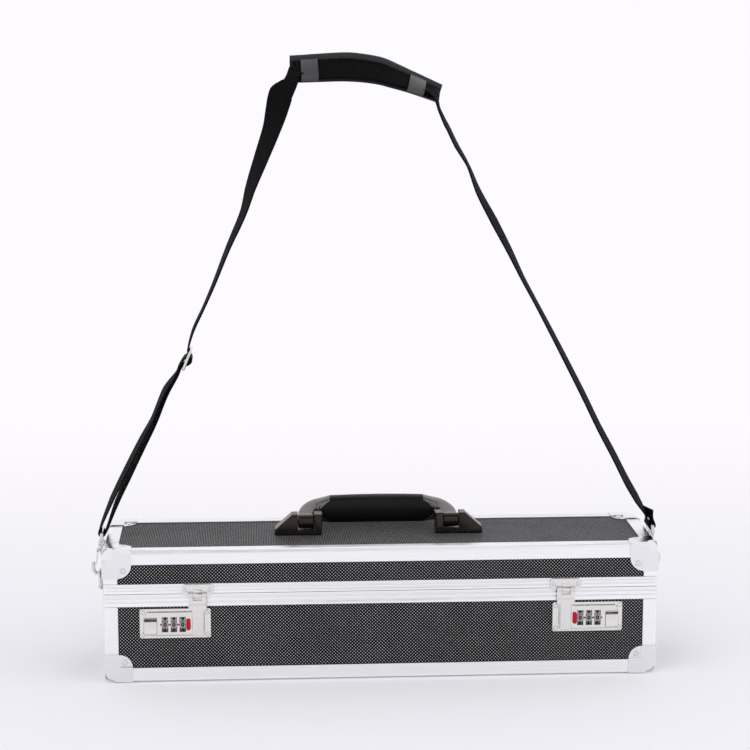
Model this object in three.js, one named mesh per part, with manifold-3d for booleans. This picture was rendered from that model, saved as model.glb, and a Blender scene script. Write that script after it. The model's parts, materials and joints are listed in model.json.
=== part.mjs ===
// A hard carrying case for kitchen knives, with a hinged lid. Millimetres, +Z up, +X to the
// right, and the front with its two locks faces -Y. Laminated panels are held by aluminium
// edging, and pressed corner caps cover its corners. Two combination locks hold two hasps,
// a folding handle lies back on the lid, and a shoulder strap is clipped to a ring on each end.
import * as THREE from "three";
import { mergeVertices } from "three/addons/utils/BufferGeometryUtils.js";
import { RoundedBoxGeometry } from "three/addons/geometries/RoundedBoxGeometry.js";
import Module from "manifold-3d";

const wasm = await Module();
wasm.setup();

// The case over its edging, and the part of its height that is lid
const caseLength = 500;
const caseDepth = 120;
const caseHeight = 121;
const lidHeight = 40;
const partingGap = 0.3;

// How far a cut runs past what it cuts, and the clearances of seated and of turning pieces
const overrun = 1;
const seatGap = 0.2;
const runningGap = 0.35;

// Aluminium edging
const railFlange = 12.8;
const railWall = 1;
const railEdgeRadius = 2.2;
const cornerInset = 9;
const cornerBall = 10.5;
const baseRimHeight = 11.5;
const lidRimHeight = 9;
const rimDepth = 7;
const grooveDepth = 0.4;
const grooveHeight = 0.8;
const tongueWall = 1.2;
const tongueHeight = 2;
const tongueGap = 0.6;

// Panels and lining
const panelWall = 4;
const liningWall = 3;

// Corner caps, whose arms end short of the rim, with an ear and a rivet on each of three faces
const capWall = 0.9;
const capToRim = 5.2;
const rivetPlaceShare = 0.423;
const rivetRadius = 2.7;
const rivetHeight = 1.1;

// Combination lock: offsets run outwards from the lock's centre, heights upwards from it
const lockInset = 63.8;
const lockDrop = 27;
const lockWidth = 63.5;
const lockTall = 27;
const lockFlange = 1.2;
const lockFace = 2.9;
const lockCornerRadius = 1.6;
const faceMarginSide = 5.2;
const faceMarginEnd = 2.3;
const faceBevel = 0.8;
const lockBoxWidth = 58;
const lockBoxTall = 22;
const lockBoxDepth = 16;
const lockScrewAcross = 29;
const lockScrewUp = 10.4;
const lockScrewRadius = 2.2;
const lockScrewHeight = 1.3;

// Number dials
const dialRadius = 8.8;
const dialWidth = 5;
const dialPitch = 7.9;
const dialOffset = 1.2;
const dialDrop = 0.8;
const dialProud = 0.5;
const dialGroove = 0.5;
const dialSlotTall = 13.9;
const dialSideGap = 0.35;
const dialTipGap = 0.5;
const axleRadius = 1.5;

// Release button, which slides up in its window
const buttonOffset = 22.2;
const buttonWidth = 11.4;
const buttonTall = 11;
const buttonLedge = 1.5;
const buttonTravel = 2.8;
const buttonBottom = 9.1;
const buttonProud = 0.7;
const buttonDepth = 5;
const buttonDish = 0.5;

// Code-change lever, which slides down in a short slot
const leverOffset = 11.8;
const leverWidth = 3.9;
const leverTall = 10.7;
const leverProud = 1.3;
const leverStem = 1.6;
const leverStemTall = 2.6;
const leverTravel = 2;
const leverDepth = 4;
const leverBevel = 0.5;

// Hasp: a strap hinged to a plate on the lid's rim
const haspOffset = 20.2;
const haspWall = 1.6;
const haspWidth = 10;
const haspTipDrop = 38.7;
const haspCorner = 1.2;
const haspFlangeWidth = 15.5;
const haspFlangeDrop = 9.6;
const haspFlangeTall = 4.4;
const haspFlangeExtra = 0.7;
const haspWindowTop = 2.9;
const haspBarrelHalf = 8.1;
const haspTongueHalf = 3.8;
const haspAxisDrop = 0.5;
const haspPin = 1;
const barrelProud = 2.6;
const haspPlateWidth = 28.2;
const haspPlateTall = 10.3;
const haspPlateWall = 1.2;
const haspPlateDrop = 1.5;
const haspPlateRadius = 3.2;
const haspRivetAcross = 11;
const haspRivetRadius = 1.9;
const haspRivetHeight = 0.9;
const bolster = 0.3;

// Rear hinges
const hingeInset = 100;
const hingeHalf = 19;
const hingeKnuckle = 6.2;
const hingeKnuckleGap = 0.3;
const hingePin = 1.1;
const hingeLeafWall = 1.2;
const hingeLeafTall = 20;
const hingeLeafStart = 3;
const hingeScrewAcross = 13;

// Handle: feet, pin, arms and grip; it lies back on the lid at a small tilt
const footInner = 52.2;
const footOuter = 95.6;
const footDepth = 15;
const footTall = 19.4;
const footWedgeTop = 79.8;
const footHeel = 5.6;
const footBevel = 0.9;
const footSill = 4.6;
const notchInner = 59.4;
const notchOuter = 74.4;
const pivotRise = 11.6;
const pivotPin = 1.75;
const hubRadius = 6.2;
const hubGap = 0.4;
const armThick = 9;
const armStraight = 11;
const gripReach = 35;
const gripHalf = 53.6;
const gripThick = 25;
const gripWide = 19;
const gripArch = 2;
const gripSwell = 1.2;
const coreRadius = 4;
const handleTilt = 5;

// Strap anchors on the base's ends: a riveted plate with a curl, and a ring that leans outwards
const anchorWidth = 16;
const anchorDrop = 6.6;
const anchorTall = 13.9;
const anchorWall = 1.2;
const anchorCurlHalf = 6;
const anchorRivetInset = 3.5;
const anchorRivetPitch = 6.2;
const anchorRivetRadius = 2.1;
const anchorRivetHeight = 1.1;
const ringWire = 1.5;
const ringOut = 4.9;
const ringRise = 13.7;
const ringHalfWidth = 12.2;
const ringCorner = 2;
const ringLean = 1.7;
const ringJoint = 0.6;

// Snap hooks: a bent wire under a swivelling barrel, closed by a sprung gate
const hookWire = 1.6;
const hookBend = 5;
const hookOut = 0.8;
const hookTip = 6.6;
const swivelDrop = 7.5;
const barrelOut = 4.4;
const barrelRadius = 3.2;
const barrelTall = 7;
const barrelFloor = 1.5;
const stemRadius = 1.2;
const stemHead = 2.1;
const stemHeadTall = 1.4;
const gateOut = 7.9;
const gateDrop = 6.5;
const gateWide = 4.8;
const gateWall = 1.3;
const gateKnuckle = 1.7;
const gatePin = 0.7;
const gateSlotTall = 2.2;
const gateLap = 2;
const lugHalf = 0.7;
const lugTall = 2.6;

// Eyes: a flat loop on a stem, leaning inwards to the strap
const eyeWire = 1.5;
const eyeHalf = 14.4;
const eyeTall = 7;
const eyeRise = 5;
const eyeCorner = 4;
const eyeInnerCorner = 1.5;
const eyeBevel = 0.7;
const eyeLean = 5;

// Webbing, slider and shoulder pad
const webWidth = 24;
const webWall = 1.4;
const strapRise = 417;
const loopRadius = 2.8;
const loopNear = 13;
const loopFar = 27;
const nearSpread = 1.3;
const farSpread = 0.95;
const nearTwist = 12;
const farTwist = 18;
const legBulge = 0.3;
const sliderWire = 1.25;
const sliderPitch = 8.6;
const sliderHalf = 14.6;
const sliderCorner = 3;
const sliderWindowCorner = 0.8;
const sliderBevel = 0.6;
const sliderClear = 7;
const sliderGap = 0.4;
const padBack = 18.2;
const padFront = 12.4;
const padWall = 5.8;
const padGap = 0.85;
const padEndShare = 0.96;
const taperPower = 8;
const keeperWall = 0.9;
const keeperSink = 1.3;
const keeperSide = 0.4;
const keeperFoot = 2.4;

// The strap's middle line as it stands: a share of the way from the case's middle to an eye, a
// share of half the webbing's width to the front, a share of the rise above the eyes, the twist
// in degrees, and the share of its width that is left where it bunches up beside the pad. The
// doubled leg runs from the left eye up to the slider, and the line then goes on over the pad
// and down to the right eye.
const doubledShares = [
  [-0.9556, 0, 0.064, 3],
  [-0.9, 0, 0.131, 4],
  [-0.8425, 0, 0.1977, 3],
  [-0.8015, 0, 0.2419, 1],
  [-0.7533, 0, 0.3082, 4],
];
const sliderShares = [-0.686, 0, 0.3816, 0];
const leftLegShares = [
  [-0.664, 0, 0.442, 2],
  [-0.6254, 0, 0.4922, 2],
  [-0.5875, 0.05, 0.5444, 4],
  [-0.5357, 0.1, 0.6224, 7],
  [-0.4795, 0.15, 0.6999, 9],
  [-0.4542, 0.2, 0.7515, 16],
  [-0.4158, 0.3, 0.8155, 24],
  [-0.3775, 0.5, 0.8795, 31],
  [-0.355, 0.65, 0.921, 45, 0.95],
  [-0.342, 0.8, 0.95, 50, 0.7],
  [-0.328, 0.7, 0.976, 46, 0.5],
  [-0.312, 0.4, 0.997, 43, 0.5],
  [-0.294, 0.12, 1.003, 42, 0.65],
];
const padShares = [
  [-0.312, 0, 1.0015, 41],
  [-0.273, 0, 1.0015, 42],
  [-0.213, 0, 1.003, 44],
  [-0.1, 0, 1.0045, 47],
  [0, 0, 0.9971, 42],
  [0.055, 0, 0.9868, 34],
  [0.107, 0, 0.9763, 26],
  [0.163, 0, 0.964, 20],
  [0.212, 0, 0.953, 16],
];
const rightLegShares = [
  [0.19, 0, 0.9582, 17.8],
  [0.212, 0, 0.953, 16],
  [0.2205, 0, 0.9425, 8],
  [0.2245, 0, 0.918, 4],
  [0.2495, 0, 0.8747, 5],
  [0.2764, 0, 0.842, 6],
  [0.3181, 0, 0.7989, 3],
  [0.3558, 0, 0.7425, 11],
  [0.4149, 0, 0.6755, 14],
  [0.4685, 0, 0.614, 11],
  [0.5197, 0, 0.5512, 8],
  [0.5638, 0, 0.502, 7],
  [0.5993, 0, 0.462, 8],
  [0.6405, 0, 0.415, 9],
  [0.7457, 0, 0.2917, 11],
  [0.8022, 0, 0.222, 12],
  [0.861, 0, 0.1555, 13],
  [0.9135, 0, 0.0935, 15],
];

// The pad's section: a share of its reach to the front or the back, and of its thickness
const padSectionShares = [
  [-1, -0.25],
  [-0.82, -0.6],
  [-0.45, -0.95],
  [0, -1],
  [0.45, -0.95],
  [0.82, -0.7],
  [1, -0.2],
  [1, 0.3],
  [0.93, 0.68],
  [0.8, 0.7],
  [0.73, 0.4],
  [0.7, 0],
  [-0.95, 0],
];
const keeperPlaces = [1, 6];

// Counts of steps and sides
const edgeSteps = 1;
const ballSides = 8;
const ballRings = 4;
const domeSides = 7;
const domeRings = 1;
const roundSides = 16;
const smallSides = 10;
const arcSteps = 2;
const earSteps = 3;
const wireSides = 8;
const ringSteps = 20;
const hookSteps = 15;
const bendSteps = 5;
const loopSteps = 5;
const digits = 10;
const loftSides = 14;
const loftSteps = 6;
const gripSteps = 7;
const strapSteps = 2;
const degree = Math.PI / 180;

// Places worked out from the sizes above
const halfLength = caseLength / 2;
const halfDepth = caseDepth / 2;
const partingHeight = caseHeight - lidHeight;
const panelInset = railWall + seatGap;
const linerInset = panelInset + panelWall + seatGap;
const baseRimLow = partingHeight - baseRimHeight;
const lidRimLow = partingHeight + partingGap;
const lidRimTop = lidRimLow + lidRimHeight;
const panelFace = halfDepth - panelInset;
const lidFace = caseHeight - panelInset;
const barrelY = halfDepth + barrelProud;
const pivotBarrel = barrelProud - seatGap;
const standHeight = seatGap + capWall;
const capArm = lidHeight - partingGap - lidRimHeight - capToRim;
const earRadius = capArm - railFlange - 2 * seatGap;
const rivetInset = earRadius * rivetPlaceShare;
const lockOffset = halfLength - lockInset;
const lockHeight = partingHeight - lockDrop;
const hingeOffset = halfLength - hingeInset;
const anchorTop = partingHeight - anchorDrop;
const anchorBottom = anchorTop - anchorTall;

// A closed geometry as a solid for joining and cutting
function solid(geometry) {
  const bare = geometry.clone();
  for (const name of Object.keys(bare.attributes)) {
    if (name !== "position") bare.deleteAttribute(name);
  }
  const merged = mergeVertices(bare, 1e-4);
  return new wasm.Manifold(new wasm.Mesh({
    numProp: 3,
    vertProperties: merged.attributes.position.array,
    triVerts: new Uint32Array(merged.index.array),
  }));
}

// A solid as a geometry that three.js can draw
function geometryOf(body) {
  const mesh = body.getMesh();
  const count = mesh.numProp;
  const points = new Float32Array(mesh.numVert * 3);
  for (let i = 0; i < mesh.numVert; i += 1) {
    points.set(mesh.vertProperties.subarray(i * count, i * count + 3), i * 3);
  }
  const geometry = new THREE.BufferGeometry();
  geometry.setAttribute("position", new THREE.BufferAttribute(points, 3));
  geometry.setIndex(new THREE.BufferAttribute(new Uint32Array(mesh.triVerts), 1));
  const faceted = geometry.toNonIndexed();
  faceted.computeVertexNormals();
  return faceted;
}

// A box between two corners
function block(x0, x1, y0, y1, z0, z1) {
  const box = new THREE.BoxGeometry(x1 - x0, y1 - y0, z1 - z0);
  return solid(box.translate((x0 + x1) / 2, (y0 + y1) / 2, (z0 + z1) / 2));
}

// A box that is centred on X and Y and runs from one height to another
function slab(halfX, halfY, z0, z1) {
  return block(-halfX, halfX, -halfY, halfY, z0, z1);
}

// A round bar along X from x0 to x1
function barX(radius, x0, x1, y, z, sides = roundSides) {
  const bar = new THREE.CylinderGeometry(radius, radius, x1 - x0, sides);
  return solid(bar.rotateZ(Math.PI / 2).translate((x0 + x1) / 2, y, z));
}

// A round bar along Y, centred on y = 0
function barY(radius, halfWidth, x, z, sides = smallSides) {
  const bar = new THREE.CylinderGeometry(radius, radius, halfWidth * 2, sides);
  return solid(bar.translate(x, 0, z));
}

// A shape drawn in X and Z, thickened forwards from a distance in front of y = 0
function frontPlate(shape, from, thickness, bevel = 0) {
  const plate = new THREE.ExtrudeGeometry(shape, {
    depth: thickness - 2 * bevel,
    curveSegments: arcSteps,
    bevelEnabled: bevel > 0,
    bevelThickness: bevel,
    bevelSize: bevel,
    bevelOffset: -bevel,
    bevelSegments: 1,
  });
  return solid(plate.translate(0, 0, from + bevel).rotateX(Math.PI / 2));
}

// A rectangle with rounded corners, centred at a point
function roundedRectangle(width, height, radius, x = 0, y = 0) {
  const shape = new THREE.Shape();
  const a = width / 2;
  const b = height / 2;
  shape.moveTo(x - a + radius, y - b);
  shape.lineTo(x + a - radius, y - b);
  shape.absarc(x + a - radius, y - b + radius, radius, -Math.PI / 2, 0);
  shape.lineTo(x + a, y + b - radius);
  shape.absarc(x + a - radius, y + b - radius, radius, 0, Math.PI / 2);
  shape.lineTo(x - a + radius, y + b);
  shape.absarc(x - a + radius, y + b - radius, radius, Math.PI / 2, Math.PI);
  shape.lineTo(x - a, y - b + radius);
  shape.absarc(x - a + radius, y - b + radius, radius, Math.PI, 1.5 * Math.PI);
  return shape;
}

// A domed rivet or screw head on a short shank; it stands on z = 0 and points up
function dome(radius, height, shank) {
  const profile = [new THREE.Vector2(0, -shank), new THREE.Vector2(radius, -shank)];
  for (let i = 0; i <= domeRings; i += 1) {
    const turn = (i / (domeRings + 1)) * (Math.PI / 2);
    profile.push(new THREE.Vector2(radius * Math.cos(turn), height * Math.sin(turn)));
  }
  profile.push(new THREE.Vector2(0, height));
  return new THREE.LatheGeometry(profile, domeSides).rotateX(Math.PI / 2);
}

// A dome that points to the front, at a place and a distance in front of y = 0
function frontDome(radius, height, shank, x, from, z) {
  return solid(dome(radius, height, shank).rotateX(Math.PI / 2).translate(x, -from, z));
}

// A round wire along a curve
function wire(curve, radius, steps) {
  const circle = new THREE.Shape();
  circle.absarc(0, 0, radius, 0, 2 * Math.PI);
  const tube = new THREE.ExtrudeGeometry(circle, {
    steps,
    curveSegments: wireSides / 2,
    bevelEnabled: false,
    extrudePath: curve,
  });
  return solid(tube);
}

// A closed skin over rings of points, with a flat face on its first and last ring
function skin(rings) {
  const sides = rings[0].length;
  const points = rings.flat().flatMap((p) => [p.x, p.y, p.z]);
  const faces = [];
  for (let i = 0; i + 1 < rings.length; i += 1) {
    for (let j = 0; j < sides; j += 1) {
      const a = i * sides + j;
      const b = i * sides + ((j + 1) % sides);
      faces.push(a, b, b + sides, a, b + sides, a + sides);
    }
  }
  const first = rings[0];
  const across = new THREE.Vector3().subVectors(first[1], first[0]).normalize();
  const flat = new THREE.Vector3();
  first.forEach((p, j) => flat.add(new THREE.Vector3().crossVectors(p, first[(j + 1) % sides])));
  const up = new THREE.Vector3().crossVectors(flat.normalize(), across);
  const drawn = first.map((p) => new THREE.Vector2(p.dot(across), p.dot(up)));
  const last = (rings.length - 1) * sides;
  for (const [a, b, c] of THREE.ShapeUtils.triangulateShape(drawn, [])) {
    faces.push(a, c, b, last + a, last + b, last + c);
  }
  const geometry = new THREE.BufferGeometry();
  geometry.setAttribute("position", new THREE.Float32BufferAttribute(points, 3));
  geometry.setIndex(faces);
  return solid(geometry);
}

// One mesh with its own material
function piece(name, body, look) {
  const mesh = new THREE.Mesh(geometryOf(body), new THREE.MeshStandardMaterial(look));
  mesh.name = name;
  return mesh;
}

const looks = {
  aluminium: { color: 0xd9dbe0, roughness: 0.35, metalness: 1 },
  chrome: { color: 0xe4e4e6, roughness: 0.12, metalness: 1 },
  nickel: { color: 0xd8d2c8, roughness: 0.22, metalness: 1 },
  panel: { color: 0x17171a, roughness: 0.5, metalness: 0 },
  lining: { color: 0x1d1d20, roughness: 0.95, metalness: 0 },
  dial: { color: 0x6b6d70, roughness: 0.4, metalness: 0.8 },
  lever: { color: 0xb01622, roughness: 0.4, metalness: 0 },
  bronze: { color: 0x4a403c, roughness: 0.35, metalness: 0.8 },
  grip: { color: 0x0c0c0e, roughness: 0.45, metalness: 0 },
  webbing: { color: 0x1a1a1e, roughness: 0.85, metalness: 0 },
  pad: { color: 0x2e3032, roughness: 0.6, metalness: 0 },
};

// The case's outer form, grown or shrunk all round: a box with rounded edges whose eight
// corners are cut to a ball
function caseHull(grow) {
  const box = new RoundedBoxGeometry(
    caseLength + 2 * grow,
    caseDepth + 2 * grow,
    caseHeight + 2 * grow,
    edgeSteps,
    railEdgeRadius + grow,
  );
  let hull = solid(box.translate(0, 0, caseHeight / 2));
  const reach = cornerInset + grow + overrun;
  const ball = new THREE.SphereGeometry(cornerBall + grow, ballSides, ballRings);
  for (const sx of [-1, 1]) {
    for (const sy of [-1, 1]) {
      for (const top of [0, 1]) {
        const x = sx * (halfLength - cornerInset);
        const y = sy * (halfDepth - cornerInset);
        const z = top ? caseHeight - cornerInset : cornerInset;
        const cube = block(
          Math.min(x, x + sx * reach),
          Math.max(x, x + sx * reach),
          Math.min(y, y + sy * reach),
          Math.max(y, y + sy * reach),
          top ? z : z - reach,
          top ? z + reach : z,
        );
        hull = hull.subtract(cube.subtract(solid(ball.clone().translate(x, y, z))));
      }
    }
  }
  return hull;
}

const outerHull = caseHull(0);
const innerHull = caseHull(-railWall);
const panelHull = caseHull(-panelInset);

// A ring of edging round the long edges of one face, with its corner posts
function edgingWithPosts(low, high, faceLow) {
  const windowX = halfLength - railFlange;
  const windowY = halfDepth - railFlange;
  const far = caseLength;
  let ring = outerHull.intersect(slab(far, far, low, high));
  ring = ring.subtract(innerHull);
  const openLow = faceLow ? railFlange : low - overrun;
  const openHigh = faceLow ? high + overrun : caseHeight - railFlange;
  ring = ring.subtract(slab(windowX, far, openLow, openHigh));
  ring = ring.subtract(slab(far, windowY, openLow, openHigh));
  const faceZ = faceLow ? 0 : caseHeight;
  return ring.subtract(slab(windowX, windowY, faceZ - railFlange, faceZ + railFlange));
}

// The rim edging: an outer wall with two shallow grooves and a web that closes over the panels
function rimEdging(low, high, webLow, inner) {
  const far = caseLength;
  let rim = outerHull.intersect(slab(far, far, low, high));
  const cavityLow = webLow ? low + railWall : low - overrun;
  const cavityHigh = webLow ? high + overrun : high - railWall;
  const cavity = innerHull.intersect(slab(far, far, cavityLow, cavityHigh));
  rim = rim.subtract(cavity);
  rim = rim.subtract(slab(halfLength - inner, halfDepth - inner, low - overrun, high + overrun));
  for (const share of [1 / 3, 2 / 3]) {
    const z = low + (high - low) * share;
    const band = slab(far, far, z - grooveHeight / 2, z + grooveHeight / 2);
    rim = rim.subtract(band.subtract(slab(halfLength - grooveDepth, halfDepth - grooveDepth, 0, far)));
  }
  return rim;
}

// The ridge on the base's rim that keeps dust out and centres the closed lid
function rimTongue() {
  const outer = rimDepth - tongueWall;
  const high = partingHeight + tongueHeight;
  const ridge = slab(halfLength - outer, halfDepth - outer, partingHeight - railWall, high);
  const hole = slab(halfLength - rimDepth, halfDepth - rimDepth, 0, high + overrun);
  return ridge.subtract(hole);
}

// Wall panels of one half of the case, between two heights
function longPanel(low, high) {
  const x = halfLength - panelInset;
  return block(-x, x, -panelFace, -panelFace + panelWall, low, high).intersect(panelHull);
}

function endPanel(low, high) {
  const x = halfLength - panelInset;
  const y = panelFace - panelWall - seatGap;
  return block(-x, -x + panelWall, -y, y, low, high).intersect(panelHull);
}

function facePanel(low) {
  return slab(halfLength - linerInset, halfDepth - linerInset, low, low + panelWall).intersect(panelHull);
}

// One corner cap, made for the front left corner of the base
function cornerCap() {
  const far = caseLength;
  const lap = railFlange + seatGap + capWall;
  const grown = caseHull(seatGap + capWall).subtract(caseHull(seatGap));
  const x0 = -halfLength;
  const y0 = -halfDepth;
  let cap = grown.intersect(block(x0 - far, x0 + capArm, y0 - far, y0 + capArm, -far, capArm));
  cap = cap.subtract(block(x0 + lap, 0, y0 + lap, 0, -far, capArm + overrun));
  cap = cap.subtract(block(x0 + lap, 0, y0 - far, 0, lap, capArm + overrun));
  cap = cap.subtract(block(x0 - far, 0, y0 + lap, 0, lap, capArm + overrun));
  return cap.add(capEars());
}

// The three quarter-round ears, each stepped down onto its panel, with its rivet
function capEars() {
  const edge = railFlange + seatGap;
  const drop = panelInset - seatGap;
  const quarter = new THREE.Shape();
  quarter.moveTo(0, 0);
  quarter.lineTo(earRadius, 0);
  quarter.absarc(0, 0, earRadius, 0, Math.PI / 2);
  const plate = new THREE.ExtrudeGeometry(quarter, {
    depth: capWall,
    curveSegments: earSteps,
    bevelEnabled: false,
  });
  const rise = drop + seatGap + capWall;
  let ear = solid(plate.translate(0, 0, -drop));
  ear = ear.add(block(0, capWall, 0, earRadius, -drop, rise - drop));
  ear = ear.add(block(0, earRadius, 0, capWall, -drop, rise - drop));
  const head = dome(rivetRadius, rivetHeight, capWall / 2);
  ear = ear.add(solid(head.translate(rivetInset, rivetInset, capWall - drop)));
  const base = geometryOf(ear);
  // Drawn on a face in X and Y with its normal along +Z, the ear is turned to each face
  const onBottom = new THREE.Matrix4().makeBasis(
    new THREE.Vector3(0, 1, 0),
    new THREE.Vector3(1, 0, 0),
    new THREE.Vector3(0, 0, -1),
  );
  const onFront = new THREE.Matrix4().makeBasis(
    new THREE.Vector3(1, 0, 0),
    new THREE.Vector3(0, 0, 1),
    new THREE.Vector3(0, -1, 0),
  );
  const onEnd = new THREE.Matrix4().makeBasis(
    new THREE.Vector3(0, 0, 1),
    new THREE.Vector3(0, 1, 0),
    new THREE.Vector3(-1, 0, 0),
  );
  const x = -halfLength;
  const y = -halfDepth;
  onBottom.setPosition(x + edge, y + edge, 0);
  onFront.setPosition(x + edge, y, edge);
  onEnd.setPosition(x, y + edge, edge);
  const ears = [onBottom, onFront, onEnd].map((turn) => solid(base.clone().applyMatrix4(turn)));
  return ears[0].add(ears[1]).add(ears[2]);
}

// Lock: an offset runs outwards, which is to the left on the left lock that is made here
const lockX = (offset) => -lockOffset - offset;
const lockZ = (up) => lockHeight + up;
const dialY = -(panelFace + lockFace + dialProud - dialRadius);
const dialZ = lockHeight - dialDrop;
const dialX = (index) => lockX(dialOffset + (1 - index) * dialPitch);

// Where the hasp's strap lies, as distances in front of y = 0
const haspX = lockX(-haspOffset);
const haspFront = barrelY - seatGap;
const haspBack = haspFront - haspWall;
const haspAxisZ = partingHeight - haspAxisDrop;
const haspBottom = partingHeight - haspTipDrop;
const haspFlangeTop = partingHeight - haspFlangeDrop;
const haspFlangeBottom = haspFlangeTop - haspFlangeTall;

function lockBody() {
  const outline = roundedRectangle(lockWidth, lockTall, lockCornerRadius, lockX(0), lockZ(0));
  const from = panelFace + seatGap;
  let body = frontPlate(outline, from, lockFlange);
  const raised = roundedRectangle(
    lockWidth - 2 * faceMarginSide,
    lockTall - 2 * faceMarginEnd,
    lockCornerRadius,
    lockX(0),
    lockZ(0),
  );
  const field = lockFace - seatGap - lockFlange + faceBevel;
  body = body.add(frontPlate(raised, from + lockFlange - faceBevel, field, faceBevel));
  body = body.add(block(
    lockX(lockBoxWidth / 2),
    lockX(-lockBoxWidth / 2),
    -from - lockFlange / 2,
    -panelFace + lockBoxDepth,
    lockZ(-lockBoxTall / 2),
    lockZ(lockBoxTall / 2),
  ));
  for (const across of [-lockScrewAcross, lockScrewAcross]) {
    for (const up of [-lockScrewUp, lockScrewUp]) {
      body = body.add(frontDome(
        lockScrewRadius, lockScrewHeight, lockFlange / 2, lockX(across), from + lockFlange, lockZ(up),
      ));
    }
  }
  return lockOpenings(body);
}

// Wells and windows for the dials, the button, the lever and the hasp, and the dials' axle
function lockOpenings(closed) {
  const front = -(panelFace + lockFace + overrun);
  const halfWell = dialWidth / 2 + dialSideGap;
  let body = closed;
  for (const index of [0, 1, 2]) {
    const x = dialX(index);
    body = body.subtract(barX(dialRadius + dialTipGap, x - halfWell, x + halfWell, dialY, dialZ));
    const halfSlot = dialSlotTall / 2;
    body = body.subtract(block(
      x - halfWell, x + halfWell, front, dialY, dialZ - halfSlot, dialZ + halfSlot,
    ));
  }
  const axleEnd = halfWell + dialPitch - dialWidth;
  body = body.add(barX(axleRadius, dialX(0) - axleEnd, dialX(2) + axleEnd, dialY, dialZ, smallSides));
  const floor = -(panelFace + lockFace - buttonDepth);
  body = body.subtract(block(
    lockX(buttonOffset + buttonWidth / 2 + runningGap),
    lockX(buttonOffset - buttonWidth / 2 - runningGap),
    front,
    floor,
    lockZ(-buttonBottom - runningGap),
    lockZ(buttonTall + buttonLedge + buttonTravel - buttonBottom + runningGap),
  ));
  body = body.subtract(block(
    lockX(-leverOffset + leverStem / 2 + runningGap),
    lockX(-leverOffset - leverStem / 2 - runningGap),
    front,
    -(panelFace + lockFace - leverDepth - runningGap),
    dialZ - leverStemTall / 2 - leverTravel - runningGap,
    dialZ + leverStemTall / 2 + runningGap,
  ));
  return body.subtract(block(
    haspX - haspWidth / 2 - runningGap,
    haspX + haspWidth / 2 + runningGap,
    front,
    -(haspBack - runningGap),
    haspBottom - runningGap,
    lockZ(lockTall),
  ));
}

// A number dial: ten flats with a groove between neighbours, one of them square to the front
function dial(index) {
  const outline = new THREE.Shape();
  for (let i = 0; i < digits; i += 1) {
    const turn = ((i + 1 / 2) / digits) * 2 * Math.PI;
    const half = Math.PI / digits;
    const low = dialRadius - dialGroove;
    const edgeShare = 0.82;
    for (const [radius, angle] of [
      [low, turn - half],
      [dialRadius, turn - half * edgeShare],
      [dialRadius, turn + half * edgeShare],
    ]) {
      outline.lineTo(radius * Math.cos(angle), radius * Math.sin(angle));
    }
  }
  const wheel = new THREE.ExtrudeGeometry(outline, { depth: dialWidth, bevelEnabled: false });
  wheel.translate(0, 0, -dialWidth / 2).rotateY(Math.PI / 2);
  const bore = barX(axleRadius + runningGap, -dialWidth, dialWidth, 0, 0, smallSides);
  const place = new THREE.Matrix4().makeTranslation(dialX(index), dialY, dialZ);
  return moved(solid(wheel).subtract(bore), place);
}

// The release button: a dished pad whose upper edge slopes into its window
function releaseButton() {
  const low = -buttonBottom;
  const high = low + buttonTall;
  const back = -buttonDepth + runningGap;
  const profile = new THREE.Shape();
  profile.moveTo(back, low);
  profile.lineTo(buttonProud, low);
  profile.lineTo(buttonProud - buttonDish, low + buttonTall / 2);
  profile.lineTo(buttonProud, high);
  profile.lineTo(-buttonProud - buttonLedge, high + buttonLedge);
  profile.lineTo(back, high + buttonLedge);
  const body = new THREE.ExtrudeGeometry(profile, { depth: buttonWidth, bevelEnabled: false });
  body.translate(0, 0, -buttonWidth / 2);
  // Profile across is forwards and profile up is up, so the extrusion lies along X
  const turn = new THREE.Matrix4().makeBasis(
    new THREE.Vector3(0, -1, 0),
    new THREE.Vector3(0, 0, 1),
    new THREE.Vector3(-1, 0, 0),
  );
  turn.setPosition(lockX(buttonOffset), -(panelFace + lockFace), lockHeight);
  return solid(body.applyMatrix4(turn));
}

function codeLever() {
  const tab = roundedRectangle(
    leverWidth, leverTall, leverWidth / 2 - seatGap, lockX(-leverOffset), dialZ,
  );
  const from = panelFace + lockFace + seatGap;
  const stem = block(
    lockX(-leverOffset + leverStem / 2),
    lockX(-leverOffset - leverStem / 2),
    -from - leverProud / 2,
    -from + leverDepth,
    dialZ - leverStemTall / 2,
    dialZ + leverStemTall / 2,
  );
  return frontPlate(tab, from, leverProud, leverBevel).add(stem);
}

// The hasp's strap, its wide lip, its two arms and the barrels that turn on the plate's pin
function haspStrap() {
  const armInner = haspTongueHalf + bolster;
  const strap = roundedRectangle(
    haspWidth,
    haspFlangeTop - haspBottom,
    haspCorner,
    haspX,
    (haspFlangeTop + haspBottom) / 2,
  );
  let body = frontPlate(strap, haspBack, haspWall, bolster);
  body = body.add(block(
    haspX - haspFlangeWidth / 2,
    haspX + haspFlangeWidth / 2,
    -haspFront - haspFlangeExtra,
    -haspBack,
    haspFlangeBottom,
    haspFlangeTop,
  ));
  for (const side of [-1, 1]) {
    const x0 = haspX + (side < 0 ? -haspBarrelHalf : armInner);
    const x1 = haspX + (side < 0 ? -armInner : haspBarrelHalf);
    body = body.add(block(x0, x1, -haspFront, -haspBack, haspFlangeBottom, haspAxisZ));
    body = body.add(barX(pivotBarrel, x0, x1, -barrelY, haspAxisZ, smallSides));
  }
  const web = haspAxisZ - pivotBarrel - haspWindowTop;
  body = body.add(block(haspX - armInner, haspX + armInner, -haspFront, -haspBack, haspFlangeTop, web));
  const x = haspBarrelHalf + overrun;
  return body.subtract(barX(haspPin + runningGap, haspX - x, haspX + x, -barrelY, haspAxisZ, smallSides));
}

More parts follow.
